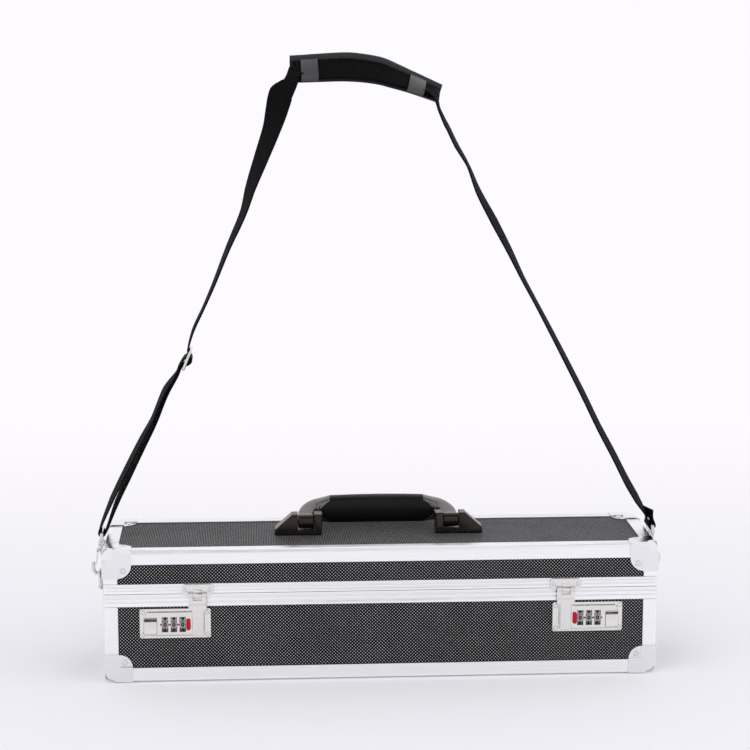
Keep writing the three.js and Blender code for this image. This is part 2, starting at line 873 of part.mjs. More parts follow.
// The hasp's plate, riveted to the lid's rim, with its barrel and pin
function haspPlate() {
  const low = lidRimLow - haspPlateDrop;
  const outline = roundedRectangle(
    haspPlateWidth, haspPlateTall, haspPlateRadius, haspX, low + haspPlateTall / 2,
  );
  const from = halfDepth + seatGap;
  let body = frontPlate(outline, from, haspPlateWall, bolster);
  for (const side of [-1, 1]) {
    body = body.add(frontDome(
      haspRivetRadius,
      haspRivetHeight,
      haspPlateWall / 2,
      haspX + side * haspRivetAcross,
      from + haspPlateWall,
      low + haspPlateTall / 2,
    ));
  }
  const room = haspBarrelHalf + runningGap;
  body = body.subtract(block(
    haspX - room, haspX + room, -barrelY, -halfDepth, low - overrun, haspAxisZ + pivotBarrel + runningGap,
  ));
  const x0 = haspX - haspTongueHalf;
  const x1 = haspX + haspTongueHalf;
  body = body.add(block(x0, x1, -barrelY, -from, haspAxisZ, low + haspPlateTall / 2));
  body = body.add(barX(pivotBarrel, x0, x1, -barrelY, haspAxisZ, smallSides));
  const half = haspBarrelHalf;
  return body.add(barX(haspPin, haspX - half, haspX + half, -barrelY, haspAxisZ, smallSides));
}

// One leaf of a rear hinge. The base's leaf has the two outer knuckles and the pin.
function hingeLeaf(onLid) {
  const sign = onLid ? 1 : -1;
  const axisZ = partingHeight + partingGap / 2;
  const y0 = halfDepth + seatGap;
  const near = axisZ + sign * hingeLeafStart;
  const end = near + sign * hingeLeafTall;
  const x = -hingeOffset;
  let leaf = block(
    x - hingeHalf, x + hingeHalf, y0, y0 + hingeLeafWall, Math.min(near, end), Math.max(near, end),
  );
  const inner = hingeKnuckle + hingeKnuckleGap;
  const spans = onLid
    ? [[-hingeKnuckle, hingeKnuckle]]
    : [[-hingeHalf, -inner], [inner, hingeHalf]];
  for (const [a, b] of spans) {
    leaf = leaf.add(block(
      x + a, x + b, y0, y0 + hingeLeafWall, Math.min(near, axisZ), Math.max(near, axisZ),
    ));
    leaf = leaf.add(barX(pivotBarrel, x + a, x + b, barrelY, axisZ, smallSides));
  }
  const bore = hingePin + runningGap;
  leaf = onLid
    ? leaf.subtract(barX(bore, x - hingeHalf, x + hingeHalf, barrelY, axisZ, smallSides))
    : leaf.add(barX(hingePin, x - hingeHalf, x + hingeHalf, barrelY, axisZ, smallSides));
  const shank = y0 + hingeLeafWall - panelFace - seatGap;
  for (const across of [-hingeScrewAcross, hingeScrewAcross]) {
    for (const [placeShare, inner] of [[0.5, hingeLeafWall / 2], [0.8, shank]]) {
      const head = dome(rivetRadius, rivetHeight, inner);
      head.rotateX(-Math.PI / 2);
      const z = near + sign * hingeLeafTall * placeShare;
      leaf = leaf.add(solid(head.translate(x + across, y0 + hingeLeafWall, z)));
    }
  }
  return leaf;
}

// Handle foot: a wedge and a post joined by a sill, with the pivot pin across the notch
const pivotZ = lidFace + pivotRise;

function handleFoot() {
  const base = lidFace + seatGap;
  const top = base + footTall;
  const outline = new THREE.Shape();
  outline.moveTo(-footOuter, base);
  outline.lineTo(-footInner, base);
  outline.lineTo(-footInner, top);
  outline.lineTo(-footWedgeTop, top);
  outline.lineTo(-footOuter, base + footHeel);
  let foot = frontPlate(outline, -footDepth / 2, footDepth, footBevel);
  foot = foot.subtract(block(
    -notchOuter, -notchInner, -footDepth, footDepth, base + footSill, top + overrun,
  ));
  return foot.add(barX(pivotPin, -notchOuter - overrun, -notchInner + overrun, 0, pivotZ, smallSides));
}

// A ring of points on a superellipse about a centre, in two directions
function ovalRing(centre, across, along, halfAcross, halfAlong, sides) {
  const ring = [];
  const squareness = 0.8;
  for (let j = 0; j < sides; j += 1) {
    const turn = (j / sides) * 2 * Math.PI;
    const c = Math.cos(turn);
    const s = Math.sin(turn);
    const point = centre.clone();
    point.addScaledVector(across, halfAcross * Math.sign(c) * Math.abs(c) ** squareness);
    point.addScaledVector(along, halfAlong * Math.sign(s) * Math.abs(s) ** squareness);
    ring.push(point);
  }
  return ring;
}

// One arm of the handle, upright about the pivot at the origin: it leaves the hub straight
// and swells as it bends inwards to the end of the grip
function handleArm() {
  const hubX = -(notchInner + notchOuter) / 2;
  const hubHalf = (notchOuter - notchInner) / 2 - hubGap;
  const thick = new THREE.Vector3(0, 1, 0);
  const rings = [];
  const rise = gripReach - armStraight;
  const run = -gripHalf - seatGap - hubX;
  const swellPower = 1.5;
  for (let i = -1; i <= loftSteps; i += 1) {
    const turn = (Math.max(i, 0) / loftSteps) * (Math.PI / 2);
    const share = Math.max(i, 0) / loftSteps;
    const x = hubX + run * (1 - Math.cos(turn));
    const z = i < 0 ? 0 : armStraight + rise * Math.sin(turn);
    const inPlane = new THREE.Vector3(Math.cos(turn), 0, -Math.sin(turn));
    const halfThick = (armThick + (gripThick - armThick) * share ** swellPower) / 2;
    const halfPlane = hubHalf + (gripWide / 2 - hubHalf) * share;
    rings.push(ovalRing(new THREE.Vector3(x, 0, z), inPlane, thick, halfPlane, halfThick, loftSides));
  }
  const hub = barX(hubRadius, hubX - hubHalf, hubX + hubHalf, 0, 0);
  const arm = skin(rings).add(hub);
  return arm.subtract(barX(pivotPin + runningGap, hubX - notchOuter, 0, 0, 0, smallSides));
}

function handleFrame() {
  const left = handleArm();
  const mirror = new THREE.Matrix4().makeRotationZ(Math.PI);
  const right = solid(geometryOf(left).applyMatrix4(mirror));
  const end = gripHalf + seatGap + overrun;
  return left.add(right).add(barX(coreRadius, -end, end, 0, gripReach, smallSides));
}

// The grip: an oval that swells a little and arches away from the lid
function handleGrip() {
  const rings = [];
  const across = new THREE.Vector3(0, 1, 0);
  const along = new THREE.Vector3(0, 0, 1);
  for (let i = 0; i <= gripSteps; i += 1) {
    const share = (2 * i) / gripSteps - 1;
    const crown = 1 - share * share;
    const centre = new THREE.Vector3(share * gripHalf, 0, gripReach + gripArch * crown);
    const halfThick = (gripThick + gripSwell * crown) / 2;
    const halfWide = (gripWide + gripSwell * crown) / 2;
    rings.push(ovalRing(centre, across, along, halfThick, halfWide, loftSides));
  }
  const bore = barX(coreRadius + runningGap, -gripHalf - overrun, gripHalf + overrun, 0, gripReach);
  return skin(rings).subtract(bore);
}

// Strap anchor on the left end of the base, with the ring's bar in its curl
const ringX = -(halfLength + ringOut);
const curlRadius = ringWire + runningGap + anchorWall;

function strapAnchor() {
  const x1 = -(halfLength + seatGap);
  const x0 = x1 - anchorWall;
  const outline = roundedRectangle(
    anchorWidth, anchorTop - anchorBottom, lockCornerRadius, 0, (anchorTop + anchorBottom) / 2,
  );
  let anchor = frontPlate(outline, -x1, anchorWall);
  const toEnd = new THREE.Matrix4().makeRotationZ(-Math.PI / 2);
  anchor = solid(geometryOf(anchor).applyMatrix4(toEnd));
  anchor = anchor.add(barY(curlRadius, anchorCurlHalf, ringX, anchorTop));
  anchor = anchor.add(block(ringX, x1, -anchorCurlHalf, anchorCurlHalf, anchorTop - anchorWall, anchorTop));
  anchor = anchor.subtract(barY(ringWire + runningGap, anchorCurlHalf + overrun, ringX, anchorTop));
  const low = anchorBottom + anchorRivetInset;
  const shanks = [
    [low, halfLength - panelInset + seatGap],
    [low + anchorRivetPitch, halfLength + seatGap],
  ];
  for (const [z, inner] of shanks) {
    for (const across of [-1, 1]) {
      const head = dome(anchorRivetRadius, anchorRivetHeight, -x0 - inner);
      const y = across * (anchorWidth / 2 - anchorRivetRadius - bolster);
      head.rotateY(-Math.PI / 2);
      anchor = anchor.add(solid(head.translate(x0, y, z)));
    }
  }
  return anchor;
}

// The ring: a wire bent to a D whose ends meet inside the curl
function strapRing() {
  const outline = new THREE.Path();
  const side = ringHalfWidth - ringCorner;
  const shoulder = Math.max(ringRise - ringHalfWidth, ringCorner);
  const crown = ringRise - shoulder;
  outline.moveTo(ringJoint, 0);
  outline.lineTo(side, 0);
  outline.absarc(side, ringCorner, ringCorner, -Math.PI / 2, 0);
  outline.absellipse(0, shoulder, ringHalfWidth, crown, 0, Math.PI);
  outline.absarc(-side, ringCorner, ringCorner, Math.PI, 1.5 * Math.PI);
  outline.lineTo(-ringJoint, 0);
  const points = outline.getSpacedPoints(ringSteps).map(
    (p) => new THREE.Vector3(ringX - (ringLean * p.y) / ringRise, p.x, anchorTop + p.y),
  );
  return wire(new THREE.CatmullRomCurve3(points, false, "centripetal"), ringWire, ringSteps);
}

// Snap hook: its bend passes under the ring's top wire, and its barrel leans with the eye
const hookX = ringX - ringLean - hookOut;
const bendRoom = hookBend - hookWire - ringWire - bolster;
const hookZ = anchorTop + ringRise + Math.sqrt(bendRoom ** 2 - hookOut ** 2);
const tipX = hookX - hookBend;
const swivelX = -(halfLength + barrelOut);
const swivelZ = caseHeight - swivelDrop;
const headLow = barrelFloor + runningGap - barrelTall / 2;
const gateX = -(halfLength + gateOut);
const gateZ = swivelZ - gateDrop;
const onSwivel = new THREE.Matrix4().makeRotationY(eyeLean * degree).setPosition(swivelX, 0, swivelZ);

function moved(body, matrix) {
  return solid(geometryOf(body).applyMatrix4(matrix));
}

// A round bar along Z, centred on the origin's axis
function barZ(radius, low, high, sides = smallSides) {
  const bar = new THREE.CylinderGeometry(radius, radius, high - low, sides);
  return solid(bar.rotateX(Math.PI / 2).translate(0, 0, (low + high) / 2));
}

// The barrel: a floor that carries the hook, a window for the stem's head, and a collar
function hookBarrel() {
  const half = barrelTall / 2;
  const room = stemHead + runningGap;
  const barrel = barZ(barrelRadius, -half, half, roundSides);
  const bored = barrel.subtract(barZ(stemRadius + runningGap, headLow, half + overrun));
  return bored.subtract(block(
    -room, room, -barrelRadius, barrelRadius, headLow - runningGap, headLow + stemHeadTall + runningGap,
  ));
}

function snapHook() {
  const neck = (up) => new THREE.Vector3(0, 0, up).applyMatrix4(onSwivel);
  const points = [neck((barrelFloor - barrelTall) / 2), neck(-barrelTall / 2 - hookWire)];
  points.push(new THREE.Vector3(hookX + hookBend, 0, hookZ + hookTip));
  for (let i = 0; i <= bendSteps; i += 1) {
    const turn = -(i / bendSteps) * Math.PI;
    points.push(new THREE.Vector3(hookX + hookBend * Math.cos(turn), 0, hookZ + hookBend * Math.sin(turn)));
  }
  points.push(new THREE.Vector3(tipX, 0, hookZ + hookTip));
  const bend = wire(new THREE.CatmullRomCurve3(points, false, "centripetal"), hookWire, hookSteps);
  const lug = block(
    gateX - lugTall / 2, swivelX, -lugHalf, lugHalf, gateZ - lugTall / 2, gateZ + lugTall / 2,
  );
  const pin = barY(gatePin, gateWide / 2, gateX, gateZ);
  return moved(hookBarrel(), onSwivel).add(bend).add(lug).add(pin);
}

// The gate hangs from its pin, tilted so that its end rests against the hook's tip
function snapGate() {
  const endX = tipX + hookWire + seatGap + gateWall / 2;
  const endZ = hookZ + hookTip - gateLap;
  const long = Math.hypot(endX - gateX, endZ - gateZ);
  const wide = gateWide / 2;
  let gate = block(-gateWall / 2, gateWall / 2, -wide, wide, -long, 0).add(barY(gateKnuckle, wide, 0, 0));
  const slot = lugHalf + runningGap;
  gate = gate.subtract(block(-gateKnuckle, gateKnuckle, -slot, slot, -gateSlotTall, gateKnuckle));
  gate = gate.subtract(barY(gatePin + runningGap, gateWide, 0, 0));
  const tilt = Math.atan2(gateX - endX, gateZ - endZ);
  return moved(gate, new THREE.Matrix4().makeRotationY(tilt).setPosition(gateX, 0, gateZ));
}

// A plate that faces the front, turned to face the left end
const toLeftEnd = new THREE.Matrix4().makeRotationZ(-Math.PI / 2);

// The eye: a flat loop whose stem turns in the hook's barrel and is headed below it
function strapEye() {
  const middle = eyeRise + eyeTall / 2;
  const wide = 2 * (eyeHalf + eyeWire);
  const narrow = 2 * (eyeHalf - eyeWire);
  const shape = roundedRectangle(wide, eyeTall + 2 * eyeWire, eyeCorner, 0, middle);
  shape.holes.push(roundedRectangle(narrow, eyeTall - 2 * eyeWire, eyeInnerCorner, 0, middle));
  const loop = moved(frontPlate(shape, -eyeWire, 2 * eyeWire, eyeBevel), toLeftEnd);
  const stem = barZ(stemRadius, headLow, eyeRise);
  const head = barZ(stemHead, headLow, headLow + stemHeadTall);
  return moved(loop.add(stem).add(head), onSwivel);
}

// The middle of the eye's top bar, which the webbing goes round
const eyeMiddle = new THREE.Vector3(0, 0, eyeRise + eyeTall).applyMatrix4(onSwivel);

// A place on the strap's middle line, with the twist in degrees and the width that is left
function strapPlace([across, forward, up, twist, gather = 1]) {
  const y = (-forward * webWidth) / 2;
  return { at: new THREE.Vector3(-eyeMiddle.x * across, y, eyeMiddle.z + up * strapRise), twist, gather };
}

// A place moved along and out from the strap's line, for a line that runs in a direction
function beside(place, direction, along, out) {
  const at = place.at.clone();
  at.x += direction.x * along - direction.z * out;
  at.z += direction.z * along + direction.x * out;
  return { ...place, at };
}

function heading(from, to) {
  return new THREE.Vector3(to.at.x - from.at.x, 0, to.at.z - from.at.z).normalize();
}

// Half a turn round an eye's bar, from the outer side to the inner side of a line that runs up
function eyeTurn(eye, up) {
  const turn = [];
  for (let i = 0; i <= loopSteps; i += 1) {
    const angle = (i / loopSteps) * Math.PI;
    turn.push(beside(eye, up, -loopRadius * Math.sin(angle), loopRadius * Math.cos(angle)));
  }
  return turn;
}

const sliderPlace = strapPlace(sliderShares);
const sliderHeading = heading(strapPlace(doubledShares.at(-1)), strapPlace(leftLegShares[0]));

// The doubled leg's two layers: down the outer side of its line, and back up the inner side
function doubledLeg(leg, over, wrap) {
  const down = [];
  const up = [];
  for (let i = 1; i + 1 < leg.length; i += 1) {
    const share = i / (leg.length - 1);
    const direction = heading(leg[i - 1], leg[i + 1]);
    const bulge = legBulge * Math.sin(share * Math.PI);
    const outside = beside(leg[i], direction, 0, THREE.MathUtils.lerp(loopRadius, over, share) + bulge);
    outside.twist = -outside.twist;
    down.unshift(outside);
    up.push(beside(leg[i], direction, 0, THREE.MathUtils.lerp(-loopRadius, wrap, share) - bulge));
  }
  return [...down, ...eyeTurn(leg[0], heading(leg[0], leg[1])), ...up];
}

// The sewn end above the right eye, where both layers turn a little out of the eye's plane
function sewnEnd(eye, up, sign) {
  const near = { ...beside(eye, up, loopNear, sign * nearSpread), twist: nearTwist };
  const far = { ...beside(eye, up, loopFar, sign * farSpread), twist: farTwist };
  return sign < 0 ? [far, near] : [near, far];
}

// The strap's whole line: from its sewn end on the slider's middle bar down to the left eye,
// back up through the slider, over the pad, and round the right eye to its other sewn end
function strapLine() {
  const wrap = sliderWire + sliderGap + webWall / 2;
  const over = wrap + webWall + runningGap;
  const atSlider = (along, out) => beside(sliderPlace, sliderHeading, along, out);
  const round = (bar, radius, angle) => {
    const turn = angle * degree;
    return atSlider(bar * sliderPitch + radius * Math.cos(turn), -radius * Math.sin(turn));
  };
  const line = [180, 120, 60, 0, -50].map((angle) => round(0, wrap, angle));
  line.push(atSlider(-sliderPitch, over), atSlider(-sliderPitch - sliderClear, over));
  const eye = { at: eyeMiddle.clone(), twist: 0, gather: 1 };
  line.push(...doubledLeg([eye, ...doubledShares.map(strapPlace), sliderPlace], over, wrap));
  const cross = Math.asin(Math.min((wrap + over) / sliderPitch, 1)) / degree;
  line.push(atSlider(-sliderPitch - sliderClear, wrap), round(-1, wrap, -90), round(-1, wrap, cross - 90));
  line.push(round(0, over, 90 + cross), round(0, over, 90), round(0, over, 90 - cross));
  line.push(round(1, wrap, -90 - cross), round(1, wrap, -90));
  line.push(...leftLegShares.map(strapPlace));
  line.push(...padShares.slice(1, -1).map(strapPlace));
  line.push(...rightLegShares.map(strapPlace));
  const rightEye = { ...eye, at: new THREE.Vector3(-eyeMiddle.x, 0, eyeMiddle.z) };
  const up = heading(rightEye, strapPlace(rightLegShares.at(-1)));
  line.push(...sewnEnd(rightEye, up, -1), ...eyeTurn(rightEye, up).reverse(), ...sewnEnd(rightEye, up, 1));
  return line;
}

// Frames along a strap line: the middle, the way across the webbing and the way it faces
function strapFrames(line) {
  const curve = new THREE.CatmullRomCurve3(line.map((place) => place.at), false, "centripetal");
  const count = (line.length - 1) * strapSteps;
  const middles = [];
  for (let i = 0; i <= count; i += 1) middles.push(curve.getPoint(i / count));
  return middles.map((middle, i) => {
    const from = line[Math.floor(i / strapSteps)];
    const to = line[Math.ceil(i / strapSteps)];
    const share = (i % strapSteps) / strapSteps;
    const turn = THREE.MathUtils.lerp(from.twist, to.twist, share) * degree;
    const gather = THREE.MathUtils.lerp(from.gather, to.gather, share);
    const along = new THREE.Vector3();
    along.subVectors(middles[Math.min(i + 1, count)], middles[Math.max(i - 1, 0)]).normalize();
    const out = new THREE.Vector3(-along.z, 0, along.x).normalize();
    const side = new THREE.Vector3().crossVectors(out, along);
    const across = side.multiplyScalar(Math.cos(turn)).addScaledVector(out, Math.sin(turn));
    const face = new THREE.Vector3().crossVectors(along, across);
    return { middle, across, face, gather };
  });
}

// A section drawn across the webbing and along the way it faces, swept over frames
function swept(frames, section) {
  return skin(frames.map(({ middle, across, face, gather }, i) => section(i, gather).map(
    ([w, h]) => middle.clone().addScaledVector(across, w).addScaledVector(face, h),
  )));
}

function webbing() {
  const w = webWidth / 2;
  const h = webWall / 2;
  const corners = [[-w, -h], [w, -h], [w, h], [-w, h]];
  return swept(strapFrames(strapLine()), (i, gather) => corners.map(([x, y]) => [x * gather, y]));
}

// The slider: a frame with three bars, the middle one holding the webbing's sewn end
function strapSlider() {
  const wide = 2 * (sliderHalf + sliderWire);
  const window = 2 * (sliderHalf - sliderWire);
  const shape = roundedRectangle(wide, 2 * (sliderPitch + sliderWire), sliderCorner);
  for (const side of [-1, 1]) {
    const middle = (side * sliderPitch) / 2;
    const tall = sliderPitch - 2 * sliderWire;
    shape.holes.push(roundedRectangle(window, tall, sliderWindowCorner, 0, middle));
  }
  const frame = moved(frontPlate(shape, -sliderWire, 2 * sliderWire, sliderBevel), toLeftEnd);
  const turn = Math.atan2(sliderHeading.x, sliderHeading.z);
  const place = new THREE.Matrix4().makeRotationY(turn).setPosition(sliderPlace.at);
  return moved(frame, place);
}

// The pad under the webbing, with a raised rim behind it and two keepers over it
function shoulderPad() {
  const under = webWall / 2 + padGap;
  const run = strapFrames(padShares.map(strapPlace));
  const last = run.length - 1;
  const taper = (i) => 1 - (1 - padEndShare) * Math.abs((2 * i) / last - 1) ** taperPower;
  let pad = swept(run, (i) => padSectionShares.map(([wShare, hShare]) => {
    const reach = wShare < 0 ? padFront : padBack;
    return [wShare * reach * (wShare < 0 ? 1 : taper(i)), hShare * padWall - under];
  }));
  const inner = webWidth / 2 + keeperSide;
  const outer = inner + keeperWall;
  const foot = inner - keeperFoot;
  const low = -under - keeperSink;
  const footTop = -under - seatGap;
  const roof = under + keeperWall;
  for (const place of keeperPlaces) {
    const from = place * strapSteps;
    pad = pad.add(swept(run.slice(from, from + strapSteps + 1), () => [
      [-outer, low], [-foot, low], [-foot, footTop], [-inner, footTop], [-inner, under], [inner, under],
      [inner, footTop], [foot, footTop], [foot, low], [outer, low], [outer, roof], [-outer, roof],
    ]));
  }
  return pad;
}

// The foam tray that lines the base, notched round the two locks
function baseLining() {
  const low = panelInset + panelWall + seatGap;
  const high = partingHeight - railWall - seatGap;
  const x = halfLength - linerInset;
  const y = halfDepth - linerInset;
  const tray = slab(x, y, low, high);
  const hollow = slab(x - liningWall, y - liningWall, low + liningWall, high + overrun);
  return lockNotches(tray.subtract(hollow));
}

// Cut-outs for both locks through a front wall
function lockNotches(body) {
  const x = lockBoxWidth / 2 + bolster;
  const z = lockBoxTall / 2 + bolster;
  let cut = body;
  for (const side of [-1, 1]) {
    const middle = side * lockOffset;
    cut = cut.subtract(block(middle - x, middle + x, -halfDepth, -panelFace + lockBoxDepth + bolster,
      lockHeight - z, lockHeight + z));
  }
  return cut;
}

const assembly = new THREE.Group();
assembly.name = "knife_case";
assembly.position.z = standHeight;

// A piece in a group that may mirror it to the right, to the back or to the lid's side
function mirrored(name, body, look, x = 1, y = 1, z = 1) {
  const group = new THREE.Group();
  group.scale.set(x, y, z);
  group.position.z = z < 0 ? caseHeight : 0;
  group.add(piece(name, body, look));
  assembly.add(group);
}

function addCase() {
  const baseTop = partingHeight - railWall - seatGap;
  const lidBottom = lidRimLow + railWall + seatGap;
  const baseRim = rimEdging(baseRimLow, partingHeight, false, rimDepth).add(rimTongue());
  const lidRim = rimEdging(lidRimLow, lidRimTop, true, rimDepth - tongueWall - tongueGap);
  const baseFront = longPanel(panelInset, baseTop);
  const lidLong = longPanel(lidBottom, lidFace);
  const baseEnd = endPanel(panelInset, baseTop);
  const lidEnd = endPanel(lidBottom, lidFace);
  const { aluminium, panel } = looks;
  mirrored("base_bottom_edging", edgingWithPosts(0, baseRimLow - seatGap, true), aluminium);
  mirrored("base_rim_edging", baseRim, aluminium);
  mirrored("lid_rim_edging", lidRim, aluminium);
  mirrored("lid_top_edging", edgingWithPosts(lidRimTop + seatGap, caseHeight, false), aluminium);
  mirrored("base_bottom_panel", facePanel(panelInset), panel);
  mirrored("base_front_panel", lockNotches(baseFront), panel);
  mirrored("base_back_panel", baseFront, panel, 1, -1);
  mirrored("lid_top_panel", facePanel(lidFace - panelWall), panel);
  mirrored("lid_front_panel", lidLong, panel);
  mirrored("lid_back_panel", lidLong, panel, 1, -1);
  for (const [side, x] of [["left", 1], ["right", -1]]) {
    mirrored(`base_${side}_panel`, baseEnd, panel, x);
    mirrored(`lid_${side}_panel`, lidEnd, panel, x);
  }
  mirrored("base_lining", baseLining(), looks.lining);
}

function addCaps() {
  const cap = cornerCap();
  for (const [half, z] of [["base", 1], ["lid", -1]]) {
    for (const [end, y] of [["front", 1], ["back", -1]]) {
      for (const [side, x] of [["left", 1], ["right", -1]]) {
        mirrored(`${half}_cap_${end}_${side}`, cap, looks.chrome, x, y, z);
      }
    }
  }
}

function addLocksAndHinges() {
  const lock = lockBody();
  const wheels = [0, 1, 2].map(dial);
  for (const [side, x] of [["left", 1], ["right", -1]]) {
    mirrored(`lock_${side}`, lock, looks.nickel, x);
    wheels.forEach((wheel, i) => mirrored(`dial_${side}_${i + 1}`, wheel, looks.dial, x));
    mirrored(`release_button_${side}`, releaseButton(), looks.nickel, x);
    mirrored(`code_lever_${side}`, codeLever(), looks.lever, x);
    mirrored(`hasp_${side}`, haspStrap(), looks.nickel, x);
    mirrored(`hasp_plate_${side}`, haspPlate(), looks.nickel, x);
    mirrored(`hinge_base_leaf_${side}`, hingeLeaf(false), looks.nickel, x);
    mirrored(`hinge_lid_leaf_${side}`, hingeLeaf(true), looks.nickel, x);
    mirrored(`handle_foot_${side}`, handleFoot(), looks.bronze, x);
  }
}

// The handle is drawn upright about its pivot and laid back towards the rear
function addHandle() {
  const handle = new THREE.Group();
  handle.position.z = pivotZ;
  handle.rotation.x = (handleTilt - 90) * degree;
  handle.add(piece("handle_frame", handleFrame(), looks.bronze));
  handle.add(piece("handle_grip", handleGrip(), looks.grip));
  assembly.add(handle);
}

function addStrap() {
  for (const [side, x] of [["left", 1], ["right", -1]]) {
    mirrored(`strap_anchor_${side}`, strapAnchor(), looks.chrome, x);
    mirrored(`strap_ring_${side}`, strapRing(), looks.chrome, x);
    mirrored(`snap_hook_${side}`, snapHook(), looks.chrome, x);
    mirrored(`snap_gate_${side}`, snapGate(), looks.chrome, x);
    mirrored(`strap_eye_${side}`, strapEye(), looks.chrome, x);
  }
  mirrored("strap_webbing", webbing(), looks.webbing);
  mirrored("strap_slider", strapSlider(), looks.chrome);
  mirrored("shoulder_pad", shoulderPad(), looks.pad);
}

addCase();
addCaps();
addLocksAndHinges();
addHandle();
addStrap();

export default assembly;
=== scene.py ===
"""A hard case for kitchen knives: laminated panels in aluminium edging, two combination locks, a folding
handle and a shoulder strap that is clipped to a ring on each end.

Sizes are in millimetres in the classes and become metres in the meshes. +Z is up and the front faces -Y.
"""

import json
import logging
import math
from dataclasses import dataclass
from enum import Enum

import bmesh
import bpy
import numpy as np
from mathutils import Matrix, Vector

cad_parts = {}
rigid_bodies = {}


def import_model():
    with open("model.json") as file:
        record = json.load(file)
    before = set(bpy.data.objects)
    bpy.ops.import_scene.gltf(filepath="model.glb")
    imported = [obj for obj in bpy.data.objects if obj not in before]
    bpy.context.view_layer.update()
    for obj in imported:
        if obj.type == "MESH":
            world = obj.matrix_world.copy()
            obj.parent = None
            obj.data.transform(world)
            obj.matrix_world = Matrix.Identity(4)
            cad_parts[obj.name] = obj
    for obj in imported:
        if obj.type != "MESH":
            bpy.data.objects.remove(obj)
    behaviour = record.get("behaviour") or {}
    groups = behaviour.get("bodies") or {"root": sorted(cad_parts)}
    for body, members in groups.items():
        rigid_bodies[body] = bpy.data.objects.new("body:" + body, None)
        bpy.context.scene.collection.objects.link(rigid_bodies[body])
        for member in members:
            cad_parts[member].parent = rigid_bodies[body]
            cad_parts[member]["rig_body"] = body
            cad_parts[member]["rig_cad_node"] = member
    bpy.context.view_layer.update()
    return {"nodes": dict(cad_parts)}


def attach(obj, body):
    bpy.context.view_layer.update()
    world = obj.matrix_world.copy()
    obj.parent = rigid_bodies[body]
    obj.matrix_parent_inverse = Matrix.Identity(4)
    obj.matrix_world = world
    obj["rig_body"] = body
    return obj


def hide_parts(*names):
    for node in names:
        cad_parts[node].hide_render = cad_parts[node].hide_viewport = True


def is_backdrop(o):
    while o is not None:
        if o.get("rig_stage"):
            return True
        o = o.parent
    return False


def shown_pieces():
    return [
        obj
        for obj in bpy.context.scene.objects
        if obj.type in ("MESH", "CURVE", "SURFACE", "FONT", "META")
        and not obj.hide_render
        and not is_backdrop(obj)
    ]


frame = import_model()

# a millimetre in metres, and how far the case's own zero lies above the floor in millimetres
MM = 0.001
STAND = 1.1
# in metres and degrees: how near two points of a node are merged, and how flat an edge is dissolved
MERGED = 2e-6
FLAT = 0.8
log = logging.getLogger("knife_case")
Colour = tuple[float, float, float]


# ---------------------------------------------------------------- shapes


def spline(points: np.ndarray, steps: int) -> np.ndarray:
    """A centripetal Catmull-Rom curve through points, with an extra point mirrored past each end.

    Each span is the cubic whose end slopes come from the spans beside it, weighted by the fourth root
    of their squared lengths.

    Args:
        points: the points that the curve passes, one row each.
        steps: how many parts each span is cut into.

    Returns:
        The points along the curve, one row each.
    """
    p = np.vstack([2 * points[0] - points[1], points, 2 * points[-1] - points[-2]])
    gap = np.maximum(np.sum(np.diff(p, axis=0) ** 2, axis=1) ** 0.25, 1e-4)[:, None]
    p0, p1, p2, p3 = p[:-3], p[1:-2], p[2:-1], p[3:]
    d0, d1, d2 = gap[:-2], gap[1:-1], gap[2:]
    t1 = ((p1 - p0) / d0 - (p2 - p0) / (d0 + d1) + (p2 - p1) / d1) * d1
    t2 = ((p2 - p1) / d1 - (p3 - p1) / (d1 + d2) + (p3 - p2) / d2) * d1
    t = (np.arange(steps) / steps)[None, :, None]
    c0, c1 = p1[:, None], t1[:, None]
    c2 = (3 * (p2 - p1) - 2 * t1 - t2)[:, None]
    c3 = (2 * (p1 - p2) + t1 + t2)[:, None]
    line = (c0 + c1 * t + c2 * t**2 + c3 * t**3).reshape(-1, points.shape[1])
    return np.vstack([line, points[-1]])


def unit(vectors: np.ndarray) -> np.ndarray:
    """The vectors, one row each, at length 1."""
    return vectors / np.maximum(np.linalg.norm(vectors, axis=-1, keepdims=True), 1e-12)


def points_of(x: object, y: object, z: object) -> np.ndarray:
    """Points from their three coordinates, each of which is repeated to the shape of all."""
    return np.stack(np.broadcast_arrays(x, y, z), -1)


def directions(line: np.ndarray) -> np.ndarray:
    """The way a line runs at each of its points, as unit vectors between the points beside it."""
    padded = np.vstack([line[:1], line, line[-1:]])
    return unit(padded[2:] - padded[:-2])


def surface(name: str, rings: np.ndarray, uv: np.ndarray | None = None) -> bpy.types.Object:
    """A closed skin over rings of points: quads between neighbouring rings, and a fan over each end.

    Args:
        name: the piece's name.
        rings: points in metres, ring by ring, each ring going once round the form.
        uv: the map's values, for each ring one more than it has points, so that the seam is clean.

    Returns:
        The new object, smooth, with its edges over 40 degrees kept sharp.
    """
    count, sides, _ = rings.shape
    start = np.arange(count - 1)[:, None] * sides
    here = np.arange(sides)
    beside = (here + 1) % sides
    quads = np.stack([start + here, start + beside, start + sides + beside, start + sides + here], -1)
    last, hub = (count - 1) * sides, np.full(sides, count * sides)
    faces = quads.reshape(-1, 4).tolist()
    faces += np.stack([beside, here, hub], -1).tolist()
    faces += np.stack([last + here, last + beside, hub + 1], -1).tolist()
    points = np.vstack([rings.reshape(-1, 3), rings[[0, -1]].mean(axis=1)])
    mesh = bpy.data.meshes.new(name)
    mesh.from_pydata(points.tolist(), [], faces)
    if uv is not None:
        grid = np.stack([uv[:-1, :-1], uv[:-1, 1:], uv[1:, 1:], uv[1:, :-1]], 2).reshape(-1, 2)
        full = np.zeros((len(mesh.loops), 2), np.float32)
        full[: len(grid)] = grid
        mesh.uv_layers.new(name="UVMap").data.foreach_set("uv", full.ravel())
    return finished(name, mesh)


